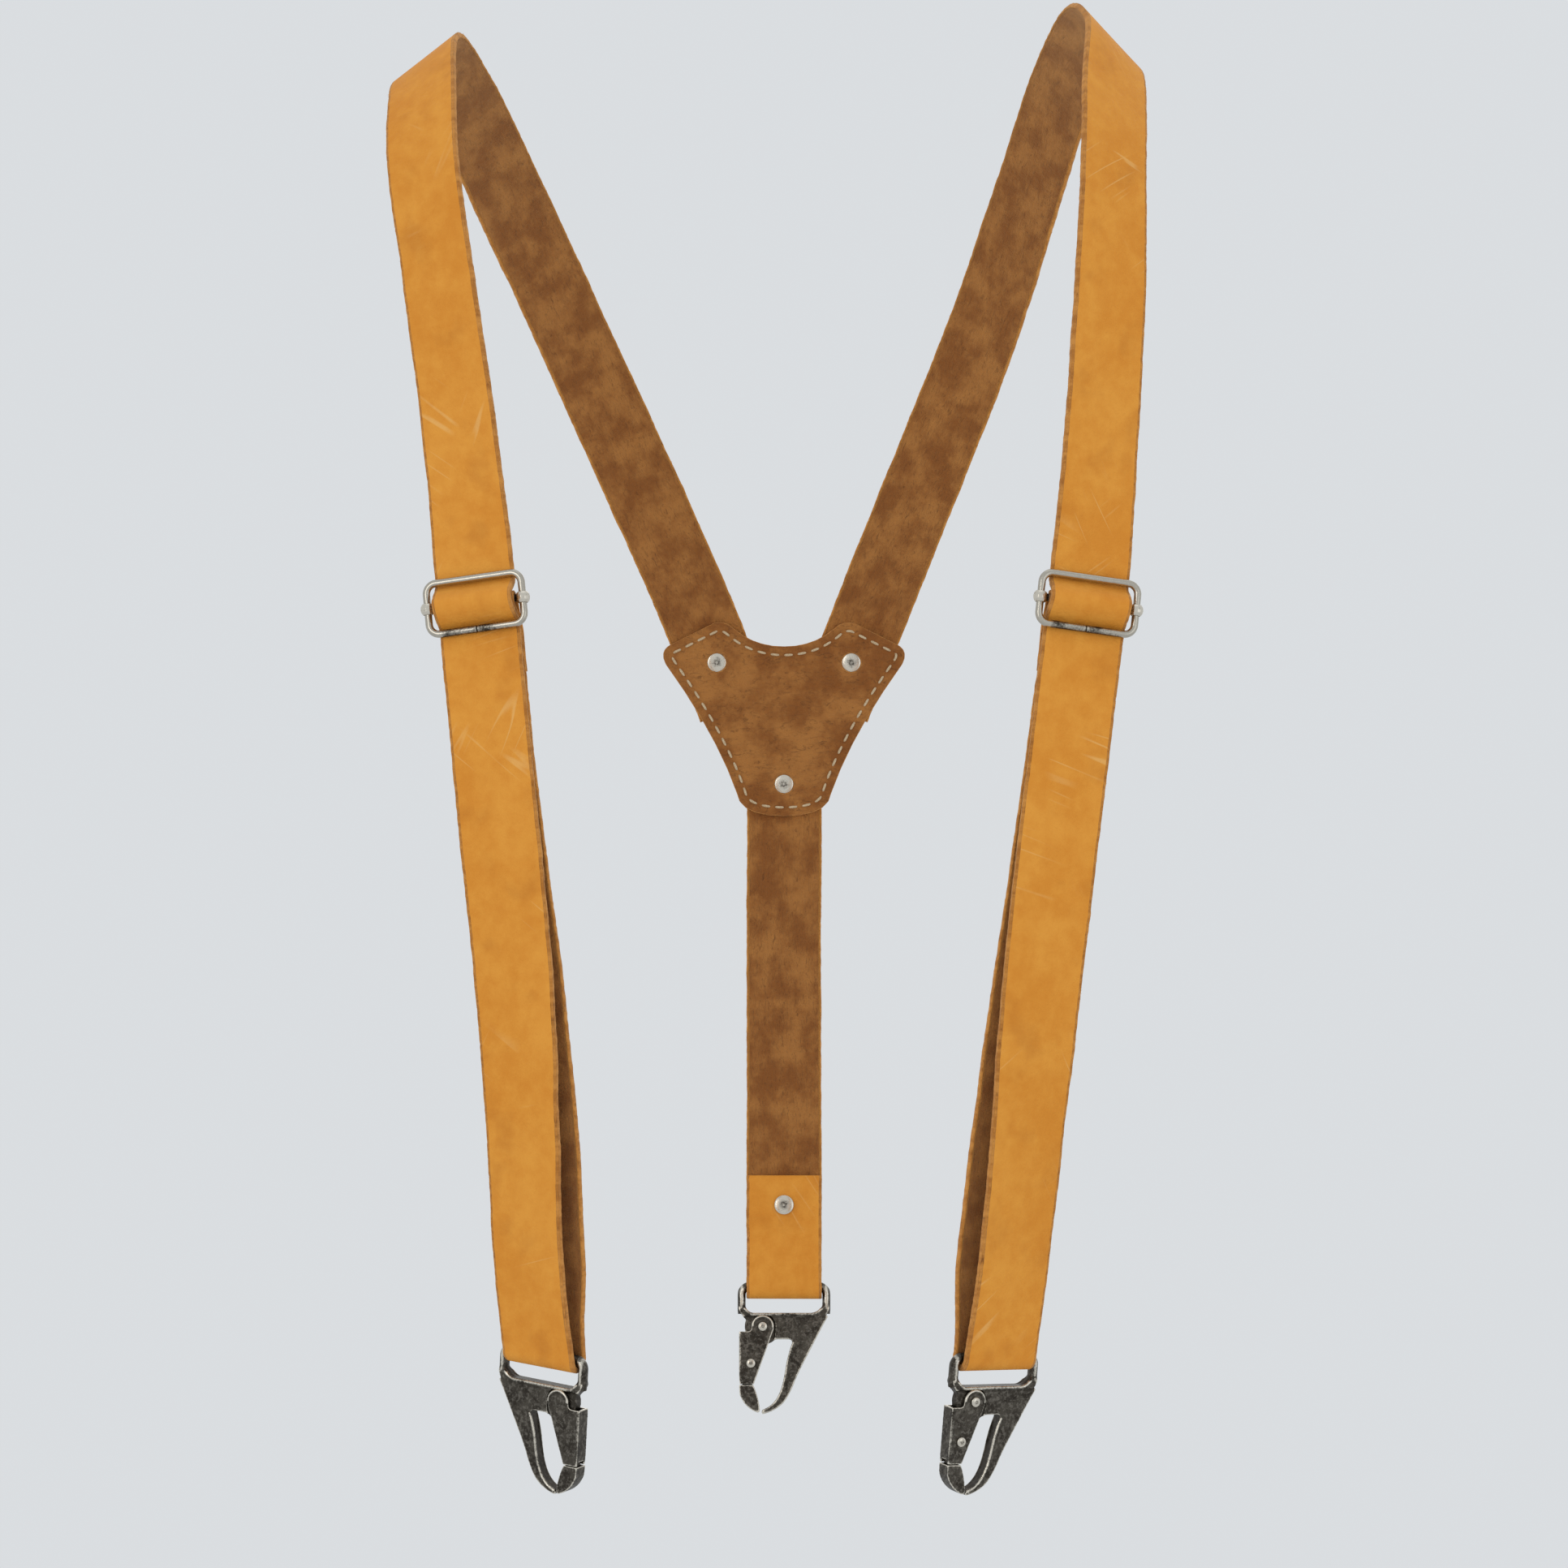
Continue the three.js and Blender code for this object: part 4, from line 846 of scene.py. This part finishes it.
# The adjuster's wire: a round section carried round a rectangle with rounded corners, closed by a butt
# seam in the middle of the lower side, where the radius dips as a bell curve. The bar and the strap's end
# rivet go with it.
def adjusterWire(suffix, route):
    size = adjusterSize
    (point,), (across,), (normal,), (tangent,) = route.at(np.array([0.0]))
    right, up = across * -route.side, -tangent
    right = unit(right - up * (right @ up))
    out = unit(np.cross(right, up))
    origin = point + normal * size["forward"]
    corner = size["corner"]
    halfX, halfY = size["width"] / 2, size["height"] / 2
    quarter = np.radians(np.linspace(0, 90, 12))
    outline = [np.stack([np.linspace(0, halfX - corner, 40)[:-1], np.full(39, -halfY)], 1)]
    for cx, cy, turn in ((1, -1, -90), (1, 1, 0), (-1, 1, 90), (-1, -1, 180)):
        centre = np.array([cx * (halfX - corner), cy * (halfY - corner)])
        angle = np.radians(turn) + quarter
        outline.append(centre + corner * np.stack([np.cos(angle), np.sin(angle)], 1))
    outline.append(np.stack([np.linspace(-halfX + corner, 0, 40)[1:-1], np.full(38, -halfY)], 1))
    flat = np.vstack(outline)
    fine = np.array([[k / 20, -halfY] for k in range(1, 20)])  # closer rings beside the seam
    flat = np.vstack([flat[:1], fine, flat[2:], fine[::-1] * (-1, 1)])
    keep = np.linalg.norm(flat - np.roll(flat, -1, axis=0), axis=1) > 1e-4
    flat = flat[keep]
    seam = np.abs(flat[:, 0]) + np.where(flat[:, 1] < -halfY + 0.01, 0, 100)
    dip = np.exp(-(seam / size["seamGap"]) ** 2)
    radius = size["wireRadius"] * (1 - 0.22 * dip)
    radius = radius * (1 + 0.012 * wander(np.arange(len(flat)) * 1.0, 9, 5))
    along = unit(np.roll(flat, -1, axis=0) - np.roll(flat, 1, axis=0))
    beside = np.stack([along[:, 1], -along[:, 0]], 1)
    angle = np.linspace(0, 2 * np.pi, 24, endpoint=False)
    plane = flat[:, None] + beside[:, None] * (np.cos(angle)[None, :] * radius[:, None])[..., None]
    height = np.sin(angle)[None, :] * radius[:, None]
    verts = origin + plane[..., :1] * right + plane[..., 1:] * up + height[..., None] * out
    verts = verts.reshape(-1, 3)
    corners = np.clip((np.abs(flat[:, 0]) - halfX + corner + 1) / 1.5, 0, 1) * np.clip(
        (np.abs(flat[:, 1]) - halfY + corner + 1) / 1.5, 0, 1)
    wearAndLight = 0.42 + 0.14 * wander(np.arange(len(flat)) * 1.0, 14, 8) + 0.3 * corners
    # Higher values on the half that faces away from the strap, lower on the half against it, and lower at the
    # seam.
    wearAndLight = wearAndLight[:, None] + 0.20 * np.sin(angle)[None, :] - 0.6 * dip[:, None]
    piece = meshOf(f"adjusterWire_{suffix}", verts * mm, outward(verts, [ringFaces(len(flat), 24, True)]),
                   [wireNickel], values={"wearAndLight": np.clip(wearAndLight, 0, 1).reshape(-1)})
    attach(piece, f"adjuster_wire_{suffix}")
    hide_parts(f"adjuster_frame_{suffix}")
    bar = castPiece(f"adjusterBar_{suffix}", f"adjuster_bar_{suffix}", [], 0.14, 4, [rivetNickel],
                    wearScale=0.07)
    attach(bar, f"adjuster_{suffix}")
    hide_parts(f"adjuster_bar_{suffix}")
    end = turned(f"endRivet_{suffix}", nodeCentre(f"strap_end_rivet_{suffix}"), normal,
                 rivetProfile(-1.42, 1.28, 1.0, 2.4, 0.6, 0.2))
    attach(end, f"adjuster_{suffix}")
    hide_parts(f"strap_end_rivet_{suffix}")


for suffix, route in routes.items():
    adjusterWire(suffix, route)
print("adjusters made")


# Hooks
hookSize = {
    "slotEdge": -9.1, "postCentre": 14.35, "postBend": 3.0, "postAcross": 1.42, "postDeep": 1.8,
    "rimRadius": 0.62, "rimLift": 1.72, "voxel": 0.2, "pivot": (7.2, -13.7), "jawRivet": (11.2, -26.1),
    # Places across, and below the slot's lower edge
    "legRim": [(-3.4, -9.9), (-2.6, -12.0), (-1.4, -16.4), (-0.6, -21.0), (0.5, -25.6), (2.3, -29.4),
               (5.0, -32.2), (7.0, -33.2)],
    "outerRim": [(-14.6, -1.0), (-13.2, -3.4), (-8.6, -12.2), (-4.0, -21.2), (-2.4, -25.2), (0.6, -30.2),
                 (4.0, -32.6), (6.8, -33.6)],
    "spine": [(14.55, -6.9), (14.6, -12.0), (14.55, -18.0), (14.3, -22.6)],
}


# A hook lies in its own plane: x along its bar, y up the strap, z along the gate's axis, from the bar's
# middle.
def hook(suffix):
    size = hookSize
    swing, gate = joints[f"hook_swing_{suffix}"], joints[f"gate_hinge_{suffix}"]
    origin = np.array(swing["pos_m"]) / mm
    x = unit(np.array(swing["axis"], float))
    z = unit(np.array(gate["axis"], float))
    y = unit(np.cross(z, x))

    def world(flat, height=0.0):
        flat = np.asarray(flat, float)
        return (origin + flat[:, :1] * x + flat[:, 1:2] * y + height * z) * mm

    extras = []

    def addRod(flat, radius, height=0.0, stretched=1.0):
        extras.append(rod(world(flat, height), radius * mm, z, stretched))

    # Posts: bent wire, round in section, from the bar's end over a large corner and down past the slot. The
    # slot's lower corners are filled to a wide curve, and a lip runs along them.
    centre, bend = size["postCentre"], size["postBend"]
    lower = size["slotEdge"]
    for side, fill in ((-1, 4.0), (1, 2.8)):
        corner = arcPoints((centre - bend, -bend), bend, 90, 0, 12)
        foot = [(centre, -5.0), (centre, -8.0), (centre - 0.1, -9.4)]
        line = np.vstack([[(8.0, 0.0), (9.6, 0.0)], corner, foot])
        addRod(line * (side, 1), size["postAcross"] - 0.05, 0.0, 1.25)
        inner = arcPoints((13.0 - fill, lower + fill), fill + 1.0, 0, -90, 14)
        addRod(inner * (side, 1), 1.0, 0.0, 1.95)
    leftLip = arcPoints((-9.0, lower + 4.0), 4.0 + 0.6, 190, 268, 14)
    rightLip = arcPoints((10.2, lower + 2.8), 2.8 + 0.6, 272, 340, 12)
    middleLip = np.stack([np.linspace(-8.4, 9.8, 24), np.full(24, lower - 0.6)], 1)
    slotRim = np.vstack([leftLip, middleLip, rightLip])
    legRim, outerRim = (curveThrough(np.array(points) + (0, lower), np.linspace(0, 1, 40), True)
                        for points in (size["legRim"], size["outerRim"]))
    for face in (-1, 1):
        addRod(slotRim, size["rimRadius"], face * size["rimLift"])
        addRod(legRim, size["rimRadius"] * 0.85, face * size["rimLift"])
        addRod(outerRim, size["rimRadius"] * 0.7, face * size["rimLift"])

    # Rounds the posts: the distance from their bent middle line, across and deep, is cut to an ellipse.
    def roundPosts(co):
        local = (co / mm - origin) @ np.stack([x, y, z], 1)
        u, v, w = np.abs(local[:, 0]), local[:, 1], local[:, 2]
        turning = (u > centre - bend) & (v > -bend)
        straight = (v <= -bend) & (u > 12.2) & (v > lower + 1.0)
        fromMiddle = np.hypot(u - centre + bend, v + bend)
        d = np.where(turning, fromMiddle - bend, u - centre)
        over = np.sqrt((d / size["postAcross"]) ** 2 + (w / size["postDeep"]) ** 2)
        hold = np.where(straight, ease(v, lower + 1.0, lower + 3.0), 1.0)
        touched = turning | straight
        shrink = np.where(touched & (over > 1), 1 + (1 / np.maximum(over, 1e-6) - 1) * hold, 1.0)
        reach = (bend + d * shrink) / np.maximum(fromMiddle, 1e-6)
        newU = np.where(turning, centre - bend + (u - centre + bend) * reach, centre + d * shrink)
        newV = np.where(turning, -bend + (v + bend) * reach, v)
        local = np.stack([np.where(touched, newU, u) * np.sign(local[:, 0]), np.where(touched, newV, v),
                          np.where(touched, w * shrink, w)], 1)
        return (origin + local @ np.stack([x, y, z])) * mm

    # Handling rubs the posts, which keep their own wear. A painted highlight runs along the posts' middle,
    # and away from the posts the side walls are darkened as painted shade.
    def hookWearAndPaintedLight(co, wearAndLight):
        u, v, w = ((co / mm - origin) @ np.stack([x, y, z], 1)).T
        posts = ease(np.abs(u), 12.6, 13.6) * ease(v, lower + 0.4, lower + 2.2)
        # Painted shade: away from the posts the side walls keep only a quarter of their wear, so they turn
        # dark.
        unshadedFaces = ease(np.abs(w), 1.15, 1.75)
        # Painted highlight: a narrow bright band along the middle of each post.
        postHighlight = np.exp(-((np.abs(u) - 14.3) / 0.7) ** 2)
        return wearAndLight * (posts + (1 - posts) * (0.25 + 0.75 * unshadedFaces)) + 0.30 * posts * postHighlight

    body = castPiece(f"hookBody_{suffix}", f"hook_body_{suffix}", extras, size["voxel"], 3, [hookNickel],
                     reshape=roundPosts, rubbingAndLight=hookWearAndPaintedLight)
    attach(body, f"hook_{suffix}")
    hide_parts(f"hook_body_{suffix}")

    extras.clear()
    # The gate's ear stands up as a rounded rim, and its spine has a softly raised corner.
    ear = arcPoints(size["pivot"], 3.35, 186, 2, 26)
    spine = np.array(size["spine"]) + (0, lower)
    for face in (-1, 1):
        addRod(ear, 0.48, face * 2.42)
        addRod(spine, 0.42, face * 2.36)
    lever = castPiece(f"gateLever_{suffix}", f"gate_lever_{suffix}", extras, 0.17, 3, [hookNickel])
    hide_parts(f"gate_lever_{suffix}")
    jaw = castPiece(f"gateJaw_{suffix}", f"gate_jaw_{suffix}", [], 0.17, 5, [hookNickel])
    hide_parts(f"gate_jaw_{suffix}")
    spring = castPiece(f"gateSpring_{suffix}", f"gate_spring_{suffix}", [], 0.12, 2, [gateSteel])
    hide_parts(f"gate_spring_{suffix}")
    pinShape = rivetProfile(-2.62, 2.7, 1.0, 1.55, 0.12, 0.9, True)
    pin = turned(f"gatePivot_{suffix}", world([size["pivot"]])[0] / mm, -z, pinShape, True)
    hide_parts(f"gate_pivot_{suffix}")
    jawPin = turned(f"jawRivet_{suffix}", world([size["jawRivet"]])[0] / mm, -z, pinShape, True)
    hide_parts(f"jaw_rivet_{suffix}")
    for piece, moving, finish in (
            (lever, "gate", "aged_nickel"), (jaw, "gate", "aged_nickel"), (jawPin, "gate", "rivet_metal"),
            (spring, "hook", "spring_steel"), (pin, "hook", "rivet_metal")):
        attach(piece, f"{moving}_{suffix}")


for suffix in ("left", "right", "rear"):
    hook(suffix)
print("hooks made")

# Junction patch
patchSize = {"top": -181.0, "bottom": -247.0, "shoulder": 43.0, "foot": 16.2, "inset": 3.0, "stitch": 3.1,
             "gap": 1.5, "threadRadius": 0.42}


# The patch's outline: quadratic curves, each point a weighted mean of the curve's three, mirrored to the
# left.
def patchOutline():
    size = patchSize
    top, bottom, shoulder, foot = size["top"], size["bottom"], size["shoulder"], size["foot"]
    half = [
        [(0, top - 8), (10, top - 8), (17, top - 2)],
        [(17, top - 2), (20, top + 1), (24, top)],
        [(24, top), (31, top - 3.5), (shoulder - 5, top - 7)],
        [(shoulder - 5, top - 7), (shoulder, top - 9), (shoulder - 2.5, top - 14)],
        [(shoulder - 2.5, top - 14), (foot + 7, top - 38), (foot, bottom + 8)],
        [(foot, bottom + 8), (foot - 1, bottom), (0, bottom)],
    ]
    t = np.linspace(0, 1, 30)[:, None]
    right = np.vstack([(1 - t) ** 2 * np.array(a) + 2 * t * (1 - t) * np.array(b) + t ** 2 * np.array(c)
                       for a, b, c in half])
    left = right[::-1] * (-1, 1)
    line = np.vstack([right, left])
    keep = np.linalg.norm(line - np.roll(line, -1, axis=0), axis=1) > 1e-3
    return line[keep]


# The patch and its lining, cast from the frame's own, and two rows of stitches.
def patch():
    size = patchSize
    line = patchOutline()
    for name, node, facing, outside in (("patchOuter", "junction_patch_outer", 1, patchGrain),
                                        ("patchLining", "junction_patch_lining", -1, patchFlesh)):
        def slotOf(normals):
            return np.where(np.abs(normals[:, 1]) < 0.6, 1, np.where(normals[:, 1] * facing > 0, 0, 2))

        piece = castPiece(name, node, [], 0.42, 3, [outside, patchEdge, patchFlesh], slotOf, 0.3)
        mesh = piece.data
        co = readAll(mesh.vertices, "co", 3) / mm
        near = np.full(len(co), 99.0)
        for k in range(0, len(line), 2):
            near = np.minimum(near, np.hypot(co[:, 0] - line[k, 0], co[:, 2] - line[k, 1]))
        rim = np.clip(1 - near / strapSize["rimWidth"], 0, 1)
        mesh.attributes.new("rim", "FLOAT", "POINT").data.foreach_set("value", rim.astype(np.float32))
        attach(piece, "harness")
        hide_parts(node)

    # Stitches: short rounded rods along the outline moved inwards, the same distance apart.
    along = unit(np.roll(line, -1, axis=0) - np.roll(line, 1, axis=0))
    inward = np.stack([-along[:, 1], along[:, 0]], 1)
    centre = line.mean(0)
    flip = np.sign(np.einsum("ij,ij->i", inward, centre - line).mean())
    row = line + inward * flip * size["inset"]
    smooth = row
    for _ in range(6):
        smooth = (np.roll(smooth, 1, 0) + smooth + np.roll(smooth, -1, 0)) / 3
    loop = np.vstack([smooth, smooth[:1]])
    lengths = np.concatenate([[0], np.cumsum(np.linalg.norm(np.diff(loop, axis=0), axis=1))])
    count = int(lengths[-1] / (size["stitch"] + size["gap"]))
    starts = np.arange(count) * lengths[-1] / count
    for name, y, facing in (("patchStitchOuter", 114.1, 1), ("patchStitchLining", 107.9, -1)):
        u = np.linspace(-1, 1, 9)
        s = starts[:, None] + (u[None] + 1) / 2 * size["stitch"]
        px, pz = np.interp(s, lengths, loop[:, 0]), np.interp(s, lengths, loop[:, 1])
        sink = facing * (size["threadRadius"] * (1.25 * (1 - u ** 2) ** 0.5 - 0.62))[None]
        points = np.stack([px, y + np.broadcast_to(sink, px.shape), pz], -1)
        direction = unit(np.gradient(points, axis=1))
        beside = unit(np.cross(direction, [0, 1.0, 0]))
        third = np.cross(beside, direction)
        radius = size["threadRadius"] * np.maximum(0.18, (1 - u ** 4) ** 0.5)[None, :, None, None]
        angle = np.linspace(0, 2 * np.pi, 10, endpoint=False)
        ring = (beside[:, :, None] * np.cos(angle)[None, None, :, None]
                + third[:, :, None] * np.sin(angle)[None, None, :, None]) * radius
        verts = (points[:, :, None] + ring).reshape(-1, 3)
        one = ringFaces(9, 10)  # nine rings of ten points to a stitch
        caps = np.stack([np.arange(10)[::-1], 80 + np.arange(10)])
        shift = 90 * np.arange(count)[:, None, None]
        groups = [(one[None] + shift).reshape(-1, 4), (caps[None] + shift).reshape(-1, 10)]
        piece = meshOf(name, verts * mm, outward(verts, groups), [thread])
        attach(piece, "harness")


patch()
for suffix in ("left", "right", "rear"):
    node = f"patch_rivet_{suffix}"
    low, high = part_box(node)
    half = (high[1] - low[1]) / 2 / mm
    piece = turned(f"patchRivet_{suffix}", nodeCentre(node), (0, 1, 0),
                   rivetProfile(-half + 0.7, half - 0.9, 1.5, 3.3, 0.7, 0.9))
    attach(piece, "harness")
    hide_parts(node)
loopRivet = turned("rearLoopRivet", rearSeam, rearFace, rivetProfile(-2.35, 2.35, 1.5, 3.3, 0.9, 0.9))
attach(loopRivet, "harness")
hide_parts("rear_loop_rivet")
print("patch made")


# Floor, light and camera
studio = {
    "floorDrop": 320.0, "floorTone": (0.80, 0.81, 0.82), "floorRadius": 2.0, "fadeFrom": 0.6, "fadeTo": 1.9,
    "worldTone": (0.90, 0.93, 0.96), "worldStrength": 0.78, "lens": 149.07, "cameraAt": (0.0, -2.110, -0.236),
}
# Each light: where it stands, what it faces, its width and height in metres, its watts and its colour.
lights = {
    "keyLight": ((-1.0, -1.8, 0.25), (0, 0, -0.30), (0.8, 1.0), 4.6, (1.0, 0.97, 0.93)),
    "fillLight": ((1.5, -1.6, -0.1), (0, 0, -0.30), (1.0, 1.2), 2.2, (0.97, 0.98, 1.0)),
    "topLight": ((0.1, 0.1, 1.5), (0, 0, -0.2), (1.3, 1.3), 1.6, (1.0, 1.0, 1.0)),
    "backLight": ((0.3, 1.7, 0.5), (0, 0, -0.25), (1.2, 1.2), 2.4, (1.0, 0.99, 0.97)),
}


# A plain matt floor that fades out with the distance from its middle.
def floorFinish():
    f = Finish("floor")
    where = f.place()
    far = f.node("ShaderNodeVectorMath", {"operation": "LENGTH"}, {0: where}, out=1)
    shader = f.node("ShaderNodeBsdfPrincipled", {}, {
        "Base Color": studio["floorTone"], "Roughness": 0.9, "Specular IOR Level": 0.0})
    clear = f.node("ShaderNodeBsdfTransparent")
    fade = far.step(studio["fadeFrom"], studio["fadeTo"])
    return f.cover(f.node("ShaderNodeMixShader", {}, {0: fade, 1: shader, 2: clear}))


lowest = cadBox[0][2]
radius = np.linspace(0.02, studio["floorRadius"], 30)[:, None]
angle = np.linspace(0, 2 * np.pi, 64, endpoint=False)[None]
disc = np.stack([radius * np.cos(angle), radius * np.sin(angle), np.zeros((30, 64))], -1).reshape(-1, 3)
disc = np.vstack([disc, [[0, 0, 0]]])
hub = np.stack([np.full(64, len(disc) - 1), np.arange(64), (np.arange(64) + 1) % 64], 1)
floor = meshOf("floor", disc, [ringFaces(30, 64)[:, ::-1], hub], [floorFinish()])
floor.location = (0, 0, lowest - studio["floorDrop"] * mm)

world = bpy.data.worlds.new("studio")
bpy.context.scene.world = world
world.use_nodes = True
backdrop = world.node_tree.nodes["Background"]
backdrop.inputs["Color"].default_value = (*studio["worldTone"], 1)
backdrop.inputs["Strength"].default_value = studio["worldStrength"]


# An area light whose own z axis points away from its target.
def softbox(name, place, target, size, power, tone):
    light = bpy.data.lights.new(name, "AREA")
    light.shape = "RECTANGLE"
    light.size, light.size_y = size
    light.energy = power
    light.color = tone
    lamp = bpy.data.objects.new(name, light)
    bpy.context.scene.collection.objects.link(lamp)
    aim = unit(np.array(target, float) - np.array(place, float))
    beside = unit(np.cross(aim, [0, 0, 1]))
    above = np.cross(beside, aim)
    matrix = np.eye(4)
    matrix[:3, 0], matrix[:3, 1], matrix[:3, 2], matrix[:3, 3] = beside, above, -aim, place
    lamp.matrix_world = matrix.T.tolist()  # a nested list is taken as columns


for name, (stands, faces, size, power, tone) in lights.items():
    softbox(name, stands, faces, size, power, tone)

lens = bpy.data.cameras.new("camera")
lens.lens = studio["lens"]
lens.sensor_width = 36
lens.clip_end = 20
camera = bpy.data.objects.new("camera", lens)
camera.location = studio["cameraAt"]
camera.rotation_euler = (np.pi / 2, 0, 0)
bpy.context.scene.collection.objects.link(camera)
bpy.context.scene.camera = camera
bpy.context.scene.view_settings.view_transform = "Standard"
print("studio made")
